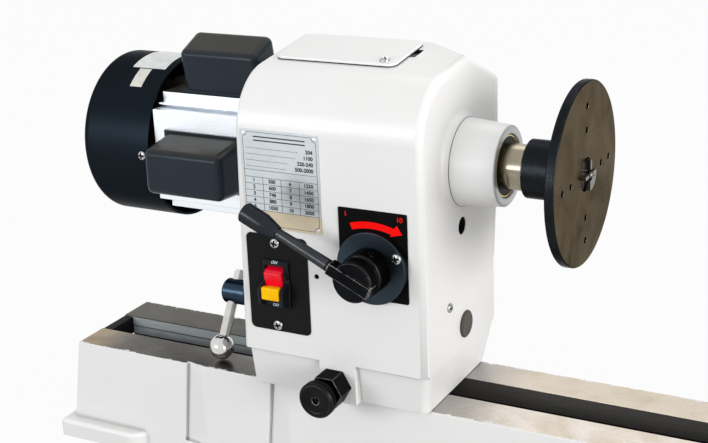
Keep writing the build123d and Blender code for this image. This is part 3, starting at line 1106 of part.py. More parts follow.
def make_switch_housing():
    """The body behind the plate, the bevelled bezel, and a guard on each side of the key."""
    bezel = switch_block(SWITCH_BEZEL_SIZE, 0, (BEZEL_FACE, PLATE_FACE - SEAT_GAP))
    bezel = chamfer(edges_near(bezel, lambda p: p.Y < BEZEL_FACE + 0.1), SWITCH_BEZEL_BEVEL)
    housing = bezel + switch_block(SWITCH_BODY_SIZE, 0, (PLATE_FACE - 1, PLATE_FACE + SWITCH_BODY_DEPTH))
    outline = polygon(*[(PLATE_FACE - out, SWITCH_CENTRE[1] + up) for out, up in GUARD_OUTLINE])
    guard_front = PLATE_FACE - GUARD_OUTLINE[1][0]
    for side in (-1, 1):
        guard_x = sorted(SWITCH_CENTRE[0] + side * half for half in (ROCKER_ROOM[0] / 2, GUARD_OUTER))
        guard = swept_along_x(outline, guard_x)
        housing += fillet(edges_near(guard, lambda p: p.Y < guard_front + 0.1), GUARD_EDGE_ROUND)
    room = switch_block(ROCKER_ROOM, 0, (BEZEL_FACE - 1, PLATE_FACE + SWITCH_BODY_DEPTH - 4))
    housing -= Pos(0, 0, ROCKER_RISE) * room
    return housing - rocker_axle(ROCKER_AXLE_RADIUS + RUNNING_FIT, SLIDE_GAP)


def rocker_axle(radius, grow):
    """The axle bar that the rocker tilts on, let into the housing's side walls."""
    half = ROCKER_ROOM[0] / 2 + 0.6 + grow
    return bar_x(radius, (SWITCH_CENTRE[0] - half, SWITCH_CENTRE[0] + half), ROCKER_PIVOT_Y, ROCKER_PIVOT_Z)


def rocker_place(y, z):
    """A point of the rocker's side outline, from the rocker's pivot."""
    return (ROCKER_PIVOT_Y + y, ROCKER_PIVOT_Z + z)


def make_switch_rocker():
    half = ROCKER_SIZE[1] / 2
    rim = BEZEL_FACE - ROCKER_PIVOT_Y
    front_low = rocker_place(rim - ROCKER_LOW_PROUD, -half)
    front_high = rocker_place(rim - ROCKER_HIGH_PROUD, half - ROCKER_TOP_TAPER)
    front_middle = rocker_place(rim - ROCKER_MIDDLE_PROUD, -ROCKER_TOP_TAPER / 2)
    outline = closed_face(ThreePointArc(front_low, front_middle, front_high),
                          Polyline(front_high, rocker_place(0, half), rocker_place(7, half - 6),
                                   rocker_place(7, -half + 6), rocker_place(0, -half), front_low))
    half_x = ROCKER_SIZE[0] / 2
    rocker = swept_along_x(outline, (SWITCH_CENTRE[0] - half_x, SWITCH_CENTRE[0] + half_x))
    pocket = key_block(KEY_TAB_SIZE, SLIDE_GAP / 2, (BEZEL_FACE - 20, KEY_BACK + SLIDE_GAP))
    return rocker - pocket + rocker_axle(ROCKER_AXLE_RADIUS, 0)


KEY_BACK = PLATE_FACE - 1.5
KEY_CENTRE_Z = SWITCH_CENTRE[1] - KEY_DROP


def key_block(size, grow, y_span):
    """A box centred on the key, in the lower part of the rocker."""
    half_x = size[0] / 2 + grow
    half_z = size[1] / 2 + grow
    return block((SWITCH_CENTRE[0] - half_x, SWITCH_CENTRE[0] + half_x), y_span,
                 (KEY_CENTRE_Z - half_z, KEY_CENTRE_Z + half_z))


def make_safety_key():
    """The pull-out key: a wide head over the rocker's lower half and a tab let into it."""
    head_back = BEZEL_FACE - KEY_HEAD_CLEAR
    head_front = head_back - KEY_HEAD_DEPTH
    head = key_block(KEY_HEAD_SIZE, 0, (head_front, head_back))
    head = fillet(edges_near(head, lambda p: p.Y < head_back - 0.1), KEY_HEAD_DEPTH / 4)
    return head + key_block(KEY_TAB_SIZE, 0, (head_back - 1, KEY_BACK))


# Plates, plug, gland and screws on the headstock
GLAND_Y = 45.0
GLAND_HEIGHT = 72.0


def rating_plate_corners():
    """The rivet places on the rating plate."""
    x, z = RATING_PLATE_CENTRE
    half_x = RATING_PLATE_SIZE[0] / 2 - RIVET_INSET
    half_z = RATING_PLATE_SIZE[1] / 2 - RIVET_INSET
    return [(x + side_x * half_x, z + side_z * half_z) for side_x in (-1, 1) for side_z in (-1, 1)]


def make_rating_plate():
    plate = front_plate(RATING_PLATE_SIZE, RATING_PLATE_CENTRE, 2, (PLATE_FACE, HEAD_FRONT - SEAT_GAP))
    rivets = []
    for x, z in rating_plate_corners():
        rivets.append(turned_y((PLATE_FACE - 1, 0), (PLATE_FACE - 1, RIVET_RADIUS * 0.6),
                               (PLATE_FACE - SEAT_GAP, RIVET_RADIUS), (PLATE_FACE - SEAT_GAP, 0), x=x, z=z))
    return [plate, *rivets]


def make_side_plug():
    stem = SIDE_PLUG_RADIUS - 2 - SEAT_GAP
    plug = bar_x(stem, (INNER_RIGHT, HEAD_RIGHT + 0.5), SIDE_PLUG_Y, SIDE_PLUG_HEIGHT)
    face = HEAD_RIGHT + SEAT_GAP
    plug += turned_x((face, 0), (face, SIDE_PLUG_RADIUS), (face + 1.2, SIDE_PLUG_RADIUS),
                     (face + 2.2, SIDE_PLUG_RADIUS - 1.5), (face + 2.2, 0), y=SIDE_PLUG_Y, z=SIDE_PLUG_HEIGHT)
    return plug


def make_cable_gland():
    seat = HEAD_LEFT - SEAT_GAP
    outline = Pos(GLAND_Y, GLAND_HEIGHT) * RegularPolygon(GLAND_RADIUS, 6)
    gland = swept_along_x(outline, (seat - 8, seat))
    gland += bar_x(GLAND_RADIUS - 2 - SEAT_GAP, (seat - 1, INNER_LEFT), GLAND_Y, GLAND_HEIGHT)
    gland += turned_x((seat - 7, 0), (seat - 7, GLAND_RADIUS - 1.5), (seat - 18, GLAND_RADIUS - 3),
                      (seat - 18, 0), y=GLAND_Y, z=GLAND_HEIGHT)
    return gland - bar_x(3.6, (seat - 19, INNER_LEFT + 1), GLAND_Y, GLAND_HEIGHT)


def make_screws():
    screws = [top_plane.location * pan_head(x, along, COVER_THICKNESS + 2 * SEAT_GAP, (0, 0, 1), 8)
              for x, along in COVER_SCREWS]
    screws += [pan_head(x, PLATE_FACE - SEAT_GAP, z, (0, -1, 0), 6) for x, z in SWITCH_SCREWS]
    screws.append(pan_head(DIAL_SCREW[0], FLANGE_FACE - SEAT_GAP, DIAL_SCREW[1], (0, -1, 0), 11))
    screws.append(pan_head(HEAD_RIGHT + SEAT_GAP, SIDE_SCREW_Y, SIDE_SCREW_HEIGHT, (1, 0, 0), 6))
    for x, z in REAR_SCREWS:
        seat = rear_screw_seat(z) + SEAT_GAP
        screws.append(pan_head(x, seat, z, (0, 1, 0), seat - HEAD_REAR + 10))
    bolt_seat = BELT_BOX_LEFT + BELT_BOX_WALL + SEAT_GAP
    for y, z in MOTOR_BOLTS:
        head_x = (bolt_seat, bolt_seat + MOTOR_BOLT_HEAD_HEIGHT)
        bolt = bar_x(MOTOR_BOLT_RADIUS, (bolt_seat - 20, bolt_seat + 1), y, z)
        bolt += bar_x(MOTOR_BOLT_HEAD_RADIUS, head_x, y, z)
        socket = Pos(y, z) * RegularPolygon(MOTOR_BOLT_KEY_RADIUS, 6)
        screws.append(bolt - swept_along_x(socket, (head_x[1] - MOTOR_BOLT_HEAD_HEIGHT / 2, head_x[1] + 1)))
    for turn in FAN_SCREW_TURNS:
        screw = pan_head(FAN_SCREW_X, 0, FAN_COVER_RADIUS + SEAT_GAP, (0, 0, 1), 8)
        screws.append(Pos(0, MOTOR_Y, MOTOR_Z) * Rot(turn, 0, 0) * screw)
    return screws


# Motor: finned frame, two end bells, fan cover, capacitor boxes and rotor
MOTOR_FRAME_RIGHT = MOTOR_FLANGE_X - MOTOR_FLANGE_THICKNESS
MOTOR_FRAME_LEFT = MOTOR_FRAME_RIGHT - MOTOR_FRAME_LENGTH
MOTOR_BELL_LEFT = MOTOR_FRAME_LEFT - MOTOR_BELL_LENGTH
FAN_COVER_RIGHT = MOTOR_FRAME_LEFT - FAN_COVER_GAP
FAN_COVER_LEFT = FAN_COVER_RIGHT - FAN_COVER_LENGTH
FAN_SCREW_X = FAN_COVER_RIGHT - FAN_SCREW_INSET
FAN_SCREW_TURNS = (90.0, 210.0, 330.0)
FRONT_SEAT = (MOTOR_FRAME_RIGHT, MOTOR_FRAME_RIGHT + MOTOR_BEARING_WIDTH)
BACK_SEAT = (MOTOR_FRAME_LEFT - MOTOR_BEARING_WIDTH, MOTOR_FRAME_LEFT)
motor_place = Pos(0, MOTOR_Y, MOTOR_Z)


def make_motor_frame():
    """The extruded frame: a round bore in a block, with a wide pad and two fins on each side."""
    outline = Rectangle(2 * MOTOR_HALF_WIDTH, 2 * MOTOR_HALF_HEIGHT)
    outline += Rectangle(2 * MOTOR_PAD_REACH, 2 * MOTOR_PAD_HALF)
    fin_low, fin_top = MOTOR_FIN_Z
    for side in (-1, 1):
        outline += Pos(0, side * (fin_low + fin_top) / 2) * Rectangle(2 * MOTOR_FIN_REACH, fin_top - fin_low)
    frame_x = (MOTOR_FRAME_LEFT, MOTOR_FRAME_RIGHT)
    return motor_place * (swept_along_x(outline, frame_x) - bar_x(MOTOR_BORE_RADIUS, frame_x))


def make_end_bells():
    flange_left = MOTOR_FRAME_RIGHT + SEAT_GAP
    flange = turned_x((flange_left, 0), (flange_left, MOTOR_FLANGE_RADIUS - 3),
                      (flange_left + 3, MOTOR_FLANGE_RADIUS), (MOTOR_FLANGE_X - 3, MOTOR_FLANGE_RADIUS),
                      (MOTOR_FLANGE_X, MOTOR_FLANGE_RADIUS - 3), (MOTOR_FLANGE_X, 0))
    flange -= bar_x(MOTOR_BEARING_RADIUS + SEAT_GAP, (MOTOR_FRAME_RIGHT, FRONT_SEAT[1]))
    flange -= bar_x(MOTOR_SHAFT_RADIUS + 3, (MOTOR_FRAME_RIGHT, MOTOR_FLANGE_X + 1))
    bell_x = (MOTOR_BELL_LEFT, MOTOR_FRAME_LEFT - SEAT_GAP)
    bell = bar_x(MOTOR_BELL_RADIUS, bell_x)
    lug_top = FAN_COVER_RADIUS - FAN_COVER_WALL - SLIDE_GAP
    for turn in FAN_SCREW_TURNS:
        bell += Rot(turn, 0, 0) * block(bell_x, (-8, 8), (MOTOR_BELL_RADIUS - 4, lug_top))
    bell = bell & bar_x(lug_top, (MOTOR_BELL_LEFT - 1, MOTOR_FRAME_LEFT + 1))
    for turn in FAN_SCREW_TURNS:
        bell -= Rot(turn, 0, 0) * screw_hole(FAN_SCREW_X, 0, FAN_COVER_RADIUS, (0, 0, 1), 10)
    bell -= bar_x(MOTOR_BEARING_RADIUS + SEAT_GAP, (BACK_SEAT[0], MOTOR_FRAME_LEFT + 1))
    bell -= bar_x(MOTOR_SHAFT_RADIUS + 3, (MOTOR_BELL_LEFT - 1, MOTOR_FRAME_LEFT))
    shapes = [motor_place * flange, motor_place * bell]
    for y, z in MOTOR_BOLTS:
        shapes[0] -= bar_x(MOTOR_BOLT_RADIUS + SEAT_GAP, (MOTOR_FRAME_RIGHT - 1, MOTOR_FLANGE_X + 1), y, z)
    return shapes


def make_fan_cover():
    bend = FAN_COVER_ROUND * (1 - sqrt(0.5))
    tip = (FAN_COVER_LEFT, FAN_COVER_RADIUS - FAN_COVER_ROUND)
    side = (FAN_COVER_LEFT + FAN_COVER_ROUND, FAN_COVER_RADIUS)
    middle = (FAN_COVER_LEFT + bend, FAN_COVER_RADIUS - bend)
    outline = closed_face(ThreePointArc(tip, middle, side),
                          Polyline(side, (FAN_COVER_RIGHT, FAN_COVER_RADIUS), (FAN_COVER_RIGHT, 0),
                                   (FAN_COVER_LEFT, 0), tip))
    wall = FAN_COVER_WALL
    inner = turned_x((FAN_COVER_LEFT + wall, 0), (FAN_COVER_LEFT + wall, FAN_COVER_RADIUS - FAN_COVER_ROUND),
                     (FAN_COVER_LEFT + wall + FAN_COVER_ROUND * 0.6, FAN_COVER_RADIUS - wall),
                     (FAN_COVER_RIGHT + 1, FAN_COVER_RADIUS - wall), (FAN_COVER_RIGHT + 1, 0))
    cover = revolve(outline, Axis.X) - inner
    slot_x = (FAN_COVER_LEFT - 1, FAN_COVER_LEFT + wall + 1)
    slot = block(slot_x, (-FAN_SLOT_HALF, FAN_SLOT_HALF), FAN_SLOT_SPAN)
    for index in range(FAN_SLOT_COUNT):
        cover -= Rot(index * 360 / FAN_SLOT_COUNT, 0, 0) * slot
    for turn in FAN_SCREW_TURNS:
        cover -= Rot(turn, 0, 0) * screw_hole(FAN_SCREW_X, 0, FAN_COVER_RADIUS, (0, 0, 1), 6)
    return motor_place * cover


def make_capacitor_boxes():
    """The two moulded boxes on the frame's top and front, with sloping sides, round edges and a thin foot."""
    boxes = []
    for outline, (left, right) in ((TOP_BOX_OUTLINE, TOP_BOX_X), (FRONT_BOX_OUTLINE, FRONT_BOX_X)):
        box = swept_along_x(polygon(*outline), (left, right))
        box = fillet(edges_near(box, lambda p: p.Z > 0.01), BOX_ROUND)
        foot_x = (left - BOX_FOOT_EDGE, right + BOX_FOOT_EDGE)
        foot_y = (outline[0][0] - BOX_FOOT_EDGE, outline[1][0] + BOX_FOOT_EDGE)
        boxes.append(box + block(foot_x, foot_y, (0, BOX_FOOT)))
    top_box = Pos(0, MOTOR_Y, MOTOR_Z + MOTOR_HALF_HEIGHT + SEAT_GAP) * boxes[0]
    front_box = Pos(0, MOTOR_Y - MOTOR_PAD_REACH - SEAT_GAP, MOTOR_Z) * Rot(90, 0, 0) * boxes[1]
    return [top_box, front_box]


def make_motor_rotor():
    core_middle = (MOTOR_FRAME_LEFT + MOTOR_FRAME_RIGHT) / 2
    core = (core_middle - ROTOR_LENGTH / 2, core_middle + ROTOR_LENGTH / 2)
    rotor = bar_x(MOTOR_SHAFT_RADIUS, (FAN_X[0] - 4, MOTOR_FIXED_END + 6))
    rotor += bar_x(ROTOR_RADIUS, core)
    for x in ((core[0] - 14, core[0] + 1), (core[1] - 1, core[1] + 14)):
        rotor += tube_x(ROTOR_RADIUS - 4, ROTOR_RADIUS - 12, x)
    spring_seat = MOTOR_MOVING_BACK - SPRING_LENGTH - SPRING_WIRE - 2 * SLIDE_GAP
    rotor += bar_x(SPRING_RADIUS + 3, (spring_seat - 4, spring_seat))
    return motor_place * rotor


FAN_X = (FAN_COVER_LEFT + 16, FAN_COVER_LEFT + 16 + FAN_WIDTH)
MOTOR_FIXED_END = 22.0


def make_cooling_fan():
    hub = MOTOR_SHAFT_RADIUS + FAN_HUB_WALL
    fan = tube_x(hub, MOTOR_SHAFT_RADIUS + SEAT_GAP, FAN_X)
    fan += tube_x(FAN_RADIUS * 0.8, hub - 1, (FAN_X[1] - 2 * FAN_BLADE_HALF, FAN_X[1]))
    blade = block(FAN_X, (-FAN_BLADE_HALF, FAN_BLADE_HALF), (hub - 1, FAN_RADIUS))
    for index in range(FAN_BLADE_COUNT):
        fan += Rot(index * 360 / FAN_BLADE_COUNT, 0, 0) * blade
    return motor_place * fan


# Tool rest: a slotted banjo clamped through the bed gap, carrying a post with a straight rest
GUIDE_HALF = 24.0
POST_Y = -POST_DISTANCE
SLOT_BLOCK_HALF = 13.0
BOLT_RADIUS = 7.0
BANJO_TOP = SLIDE_GAP + BANJO_HEIGHT
SLOT_END = SLOT_BLOCK_HALF + BANJO_REACH + 1.0
REST_TOP = CENTRE_HEIGHT - REST_BELOW_CENTRE


def make_banjo_guide():
    """The sliding key in the gap and the clamp plate under the ways."""
    guide = block((-GUIDE_HALF, GUIDE_HALF), (-TENON_HALF, TENON_HALF), (-TENON_DEPTH, -1))
    plate_half = CLAMP_PLATE_WIDTH / 2
    plate = block((-plate_half, plate_half), (-plate_half, plate_half), (CLAMP_LOW, CLAMP_TOP))
    web = block((-GUIDE_HALF, GUIDE_HALF), (-TENON_HALF + 5, TENON_HALF - 5), (CLAMP_TOP - 1, -TENON_DEPTH + 1))
    return guide + plate + web - bar_z(BOLT_RADIUS + RUNNING_FIT, (CLAMP_LOW - 1, 0))


def make_banjo_bolt():
    """The clamp bolt, with a slide block in the banjo's slot."""
    half = BANJO_SLOT_WIDTH / 2 - SLIDE_GAP
    slide = block((-half, half), (-SLOT_BLOCK_HALF, SLOT_BLOCK_HALF), (SLIDE_GAP, BANJO_HEIGHT - 4))
    nut = Pos(0, 0, CLAMP_LOW - 10 - SEAT_GAP) * extrude(RegularPolygon(12, 6), 10)
    washer = bar_z(15, (BANJO_TOP + SEAT_GAP, BANJO_TOP + 3))
    return slide + nut + washer + bar_z(BOLT_RADIUS, (CLAMP_LOW - 2, BANJO_TOP + 26))


def make_banjo():
    half = BANJO_WIDTH / 2
    rear = SLOT_END + 11
    plan = polygon((-half, rear), (half, rear), (half, -SLOT_END - 8), (POST_BOSS_RADIUS * 0.94, POST_Y),
                   (-POST_BOSS_RADIUS * 0.94, POST_Y), (-half, -SLOT_END - 8))
    plan = fillet(plan.vertices().sort_by(Axis.Y)[-2:], 10)
    banjo = Pos(0, 0, SLIDE_GAP) * extrude(plan, BANJO_HEIGHT)
    banjo += bar_z(POST_BOSS_RADIUS, (SLIDE_GAP, POST_BOSS_HEIGHT), 0, POST_Y)
    banjo -= bar_z(POST_RADIUS + RUNNING_FIT, (-1, POST_BOSS_HEIGHT + 1), 0, POST_Y)
    slot = BANJO_SLOT_WIDTH / 2
    banjo -= block((-slot, slot), (-SLOT_END, SLOT_END), (-1, BANJO_TOP + 1))
    return banjo - bar_y(LOCK_RADIUS + RUNNING_FIT, (POST_Y - POST_BOSS_RADIUS - 1, POST_Y), 0, LOCK_HEIGHT)


def make_banjo_lever():
    low = BANJO_TOP + 3 + SEAT_GAP
    lever = bar_z(13, (low, low + 20)) - bar_z(BOLT_RADIUS + RUNNING_FIT, (low - 1, low + 24))
    return lever + Pos(0, 0, low + 12) * Rot(-75, 0, 0) * hand_lever(10, HAND_LEVER_LENGTH)


def hand_lever(start, length):
    """A lever bar along Z with a ball at its end."""
    return bar_z(HAND_LEVER_RADIUS, (start, length)) + Pos(0, 0, length) * Sphere(HAND_BALL_RADIUS)


def make_tool_rest():
    blade_low = REST_TOP - REST_BLADE_HEIGHT
    half = REST_LENGTH / 2
    crest = POST_Y + REST_BLADE_LEAN
    section = polygon((POST_Y - 4, blade_low), (POST_Y + REST_BLADE_WALL - 2, blade_low), (crest + 4, REST_TOP),
                      (crest - 4, REST_TOP), (POST_Y - 8, blade_low + 14))
    blade = swept_along_x(section, (-half, half))
    for side in (-1, 1):
        corner = polygon((side * (half + 1), blade_low - 1), (side * (half - 44), blade_low - 1),
                         (side * (half + 1), REST_TOP - 14))
        blade -= swept_along_y(corner, (POST_Y - 40, POST_Y + 40))
    return blade + bar_z(POST_RADIUS, (POST_FOOT, blade_low + 8), 0, POST_Y)


def make_rest_lock():
    """The locking screw of the rest post, with a tommy bar."""
    face = POST_Y - POST_BOSS_RADIUS
    tip = POST_Y - POST_RADIUS - SLIDE_GAP
    lock = bar_y(LOCK_RADIUS, (face - 12, tip), 0, LOCK_HEIGHT)
    lock += bar_y(LOCK_HEAD_RADIUS, (face - 20, face - 4), 0, LOCK_HEIGHT)
    bar_span = (LOCK_HEIGHT - TOMMY_BAR_HALF, LOCK_HEIGHT + TOMMY_BAR_HALF)
    return lock + bar_z(TOMMY_BAR_RADIUS, bar_span, 0, face - 13)


# Tailstock: a foot, a column and a barrel with a screw-driven quill
BARREL = (-TAIL_BARREL_LENGTH / 2, TAIL_BARREL_LENGTH / 2)
BARREL_WALL_X = BARREL[1] - 14
QUILL = (BARREL[0] - QUILL_REST_OUT, BARREL[0] - QUILL_REST_OUT + QUILL_LENGTH)
TAIL_CAM_HEIGHT = 15.0
TAIL_CAM_RADIUS = 7.0
TAIL_EYE_HOLE = TAIL_CAM_RADIUS + CAM_THROW + SLIDE_GAP
QUILL_LOCK_X = -34.0
QUILL_LEVER_LENGTH = 50.0
WHEEL_X = (BARREL[1] + 3, BARREL[1] + 31)
centre_line = Pos(0, 0, CENTRE_HEIGHT)


def make_tailstock():
    half_length = TAIL_FOOT_LENGTH / 2
    half_width = TAIL_FOOT_WIDTH / 2
    foot = block((-half_length, half_length), (-half_width, half_width), (SLIDE_GAP, TAIL_FOOT_HEIGHT))
    foot = fillet(edges_near(foot, lambda p: abs(p.Z - TAIL_FOOT_HEIGHT / 2) < 1), 8)
    column_low = Pos(0, 0, TAIL_FOOT_HEIGHT - 1) * Rectangle(TAIL_COLUMN_LENGTH + 14, TAIL_COLUMN_WIDTH + 14)
    column_top = Pos(0, 0, CENTRE_HEIGHT) * Rectangle(TAIL_COLUMN_LENGTH, TAIL_COLUMN_WIDTH)
    tail = foot + loft([column_low, column_top], ruled=True)
    tail += bar_x(TAIL_BARREL_RADIUS, BARREL, 0, CENTRE_HEIGHT)
    key_x = (-half_length + 8, half_length - 8)
    tail += block(key_x, (-TENON_HALF, TENON_HALF), (-TENON_DEPTH, TAIL_FOOT_HEIGHT - 1))
    tail -= bar_x(QUILL_RADIUS + RUNNING_FIT, (BARREL[0] - 1, BARREL_WALL_X), 0, CENTRE_HEIGHT)
    tail -= bar_x(LEAD_SCREW_RADIUS + RUNNING_FIT, (BARREL_WALL_X - 1, BARREL[1] + 1), 0, CENTRE_HEIGHT)
    lock_z = (CENTRE_HEIGHT, CENTRE_HEIGHT + TAIL_BARREL_RADIUS + 1)
    tail -= bar_z(LOCK_RADIUS + RUNNING_FIT, lock_z, QUILL_LOCK_X, 0)
    eye_room = TAIL_EYE_HOLE + 4 + SLIDE_GAP
    tail -= block((-eye_room, eye_room), (-9.5, 9.5), (-TENON_DEPTH - 1, TAIL_CAM_HEIGHT + eye_room))
    return tail - bar_y(TAIL_CAM_RADIUS + RUNNING_FIT, (-half_width - 30, 24), 0, TAIL_CAM_HEIGHT)


def make_tailstock_clamp():
    """The clamp plate under the ways with its eye bolt, drawn up by the cam."""
    half = TAIL_EYE_HOLE + 4
    clamp = block((-34, 34), (-CLAMP_PLATE_WIDTH / 2, CLAMP_PLATE_WIDTH / 2), (CLAMP_LOW, CLAMP_TOP))
    clamp += bar_z(BOLT_RADIUS, (CLAMP_TOP - 1, TAIL_CAM_HEIGHT - TAIL_EYE_HOLE - 1))
    clamp += block((-half, half), (-9, 9), (TAIL_CAM_HEIGHT - half, TAIL_CAM_HEIGHT + half))
    return clamp - bar_y(TAIL_EYE_HOLE, (-10, 10), 0, TAIL_CAM_HEIGHT)


def make_tailstock_lever():
    front = -TAIL_FOOT_WIDTH / 2
    lever = bar_y(TAIL_CAM_RADIUS, (front - 16, 22), 0, TAIL_CAM_HEIGHT)
    lever += bar_y(TAIL_CAM_RADIUS, (-7, 7), 0, TAIL_CAM_HEIGHT + CAM_THROW)
    lever += bar_y(12, (front - 22, front - 2), 0, TAIL_CAM_HEIGHT)
    arm_place = Pos(0, front - 12, TAIL_CAM_HEIGHT) * Rot(0, 40, 0)
    return lever + arm_place * hand_lever(8, HAND_LEVER_LENGTH)


def make_quill():
    quill = bar_x(QUILL_RADIUS, QUILL) - taper_cut(QUILL[0], TAPER_LENGTH, 1, 0)
    quill -= bar_x(LEAD_SCREW_RADIUS + RUNNING_FIT, (QUILL[0] + TAPER_LENGTH - 1, QUILL[1] + 1))
    body_x = (QUILL[0] - CENTRE_BODY_LENGTH, QUILL[0] - 2)
    body = bar_x(CENTRE_BODY_RADIUS, body_x) + taper_cut(QUILL[0], TAPER_LENGTH - 8, 1, -SEAT_GAP)
    body += bar_x(TAPER_RADIUS - SEAT_GAP, (body_x[1] - 1, QUILL[0] + 1))
    body -= bar_x(CENTRE_STEM_RADIUS + RUNNING_FIT, (body_x[0] - 1, body_x[0] + 14))
    return [centre_line * quill, centre_line * body]


def make_live_centre():
    start = QUILL[0] - CENTRE_BODY_LENGTH
    tip = start - 4 - CENTRE_POINT_RADIUS / tan(radians(30))
    point = turned_x((start + 13, 0), (start + 13, CENTRE_STEM_RADIUS), (start - SLIDE_GAP, CENTRE_STEM_RADIUS),
                     (start - SLIDE_GAP, CENTRE_POINT_RADIUS), (start - 4, CENTRE_POINT_RADIUS), (tip, 0))
    return centre_line * point


def make_handwheel():
    """The handwheel with its crank handle, and the lead screw that it turns."""
    rim_inner = HANDWHEEL_RADIUS - 2 * HANDWHEEL_RIM
    wheel = tube_x(HANDWHEEL_RADIUS, rim_inner, (WHEEL_X[0] + 5, WHEEL_X[0] + 21))
    wheel = fillet(wheel.edges(), 3)
    wheel += bar_x(HANDWHEEL_HUB_RADIUS, WHEEL_X)
    for index in range(HANDWHEEL_SPOKES):
        spoke_y = (-HANDWHEEL_SPOKE_HALF, HANDWHEEL_SPOKE_HALF)
        spoke = block((WHEEL_X[0] + 8, WHEEL_X[0] + 18), spoke_y, (10, rim_inner + 3))
        wheel += Rot(index * 360 / HANDWHEEL_SPOKES, 0, 0) * spoke
    wheel -= bar_x(LEAD_SCREW_RADIUS + SEAT_GAP, (WHEEL_X[0] - 1, WHEEL_X[1] + 1))
    crank_z = HANDWHEEL_RADIUS - HANDWHEEL_RIM
    rim_face = WHEEL_X[0] + 21
    wheel += turned_x((rim_face - 1, 0), (rim_face - 1, 4), (rim_face + 3, 4), (rim_face + 3, 7),
                      (rim_face + 34, 9), (rim_face + 38, 6), (rim_face + 38, 0), z=crank_z)
    screw = bar_x(LEAD_SCREW_RADIUS, (QUILL[0] + TAPER_LENGTH + 3, WHEEL_X[1] + 2))
    screw += bar_x(LEAD_SCREW_RADIUS + 5, (BARREL[1] + 0.2, WHEEL_X[0] - SEAT_GAP))
    return [centre_line * wheel, centre_line * screw]


def make_quill_lock():
    top = CENTRE_HEIGHT + TAIL_BARREL_RADIUS
    lock = bar_z(LOCK_RADIUS, (CENTRE_HEIGHT + QUILL_RADIUS + SLIDE_GAP, top + 6), QUILL_LOCK_X, 0)
    lock += bar_z(10, (top + 0.5, top + 16), QUILL_LOCK_X, 0)
    arm_place = Pos(QUILL_LOCK_X, 0, top + 9) * Rot(70, 0, 0)
    return lock + arm_place * hand_lever(6, QUILL_LEVER_LENGTH)


os.makedirs("parts", exist_ok=True)

write_node("bed_casting", make_bed())

write_node("swivel_base", head_place * make_swivel_base())
write_node("headstock_clamp_plate", head_place * make_clamp_plate())

write_node("headstock_casting", head_place * make_head_casting())
write_node("pivot_bolt", head_place * make_pivot_bolt())
write_node("top_cover", head_place * make_top_cover())
write_node("rear_housing", head_place * make_rear_housing())
write_node("pan_head_screws", *[head_place * screw for screw in make_screws()])
write_node("rating_plate", *[head_place * piece for piece in make_rating_plate()])
write_node("speed_dial_plate", head_place * make_dial_plate())
write_node("dial_flange", head_place * make_dial_flange())
write_node("switch_plate", head_place * make_switch_plate())
write_node("switch_housing", head_place * make_switch_housing())
write_node("side_plug", head_place * make_side_plug())
write_node("cable_gland", head_place * make_cable_gland())
write_node("plunger_body", head_place * make_plunger_body())
guide_rod_x = (INNER_LEFT - 3.8, INNER_RIGHT + 3.8)
write_node("fork_guide_rod", head_place * bar_x(GUIDE_ROD_RADIUS, guide_rod_x, GUIDE_ROD_Y, GUIDE_ROD_Z))

spindle_bearings = (FRONT_BEARING, REAR_BEARING)
spindle_rings = [tube_x(BEARING_OUTER_RADIUS, OUTER_RING_BORE, span, 0, CENTRE_HEIGHT)
                 for span in spindle_bearings]
motor_rings = [tube_x(MOTOR_BEARING_RADIUS, MOTOR_SHAFT_RADIUS + RUNNING_FIT, span, MOTOR_Y, MOTOR_Z)
               for span in (FRONT_SEAT, BACK_SEAT)]
write_node("bearing_outer_rings", *[head_place * ring for ring in spindle_rings + motor_rings])
spindle_balls = [ball for span in spindle_bearings for ball in bearing_balls(span)]
write_node("bearing_balls", *[head_place * ball for ball in spindle_balls])
seal_spans = ((FRONT_BEARING[1] - 2.0, FRONT_BEARING[1] - 1.0), (REAR_BEARING[0] + 1.0, REAR_BEARING[0] + 2.0))
seals = [tube_x(OUTER_RING_BORE - SEAT_GAP, INNER_RING_RADIUS + RUNNING_FIT, span, 0, CENTRE_HEIGHT)
         for span in seal_spans]
write_node("bearing_seals", *[head_place * seal for seal in seals])
write_node("drive_belt", head_place * make_drive_belt())
write_node("motor_end_bells", *[head_place * bell for bell in make_end_bells()])
stator_x = (MOTOR_FRAME_LEFT + 22, MOTOR_FRAME_RIGHT - 22)
stator = tube_x(MOTOR_BORE_RADIUS - SEAT_GAP, STATOR_BORE_RADIUS, stator_x, MOTOR_Y, MOTOR_Z)
write_node("motor_frame", head_place * make_motor_frame(), head_place * stator)
write_node("fan_cover", head_place * make_fan_cover())
write_node("capacitor_boxes", *[head_place * box for box in make_capacitor_boxes()])

write_node("spindle", head_place * make_spindle())
spacer_x = (FRONT_BEARING[1] + SEAT_GAP, NOSE_START + 0.3 - SEAT_GAP)
inner_rings = [tube_x(INNER_RING_RADIUS, SPINDLE_RADIUS + SEAT_GAP, span, 0, CENTRE_HEIGHT)
               for span in (*spindle_bearings, spacer_x)]
write_node("bearing_inner_rings", *[head_place * ring for ring in inner_rings[:2]])
write_node("spacer_ring", head_place * inner_rings[2])
spindle_fixed_face = BELT_X - BELT_WIDTH / 2 - BELT_GAP
write_node("spindle_fixed_sheave", head_place * spindle_sheave(spindle_fixed_face, 1, REAR_BEARING[1] + 4.1))
write_node("faceplate", head_place * make_faceplate())
write_node("drive_spur", head_place * make_drive_spur())
write_node("spindle_nut", head_place * make_spindle_nut())
write_node("spindle_moving_sheave", head_place * make_spindle_moving_sheave())
write_node("shift_fork", head_place * make_shift_fork())

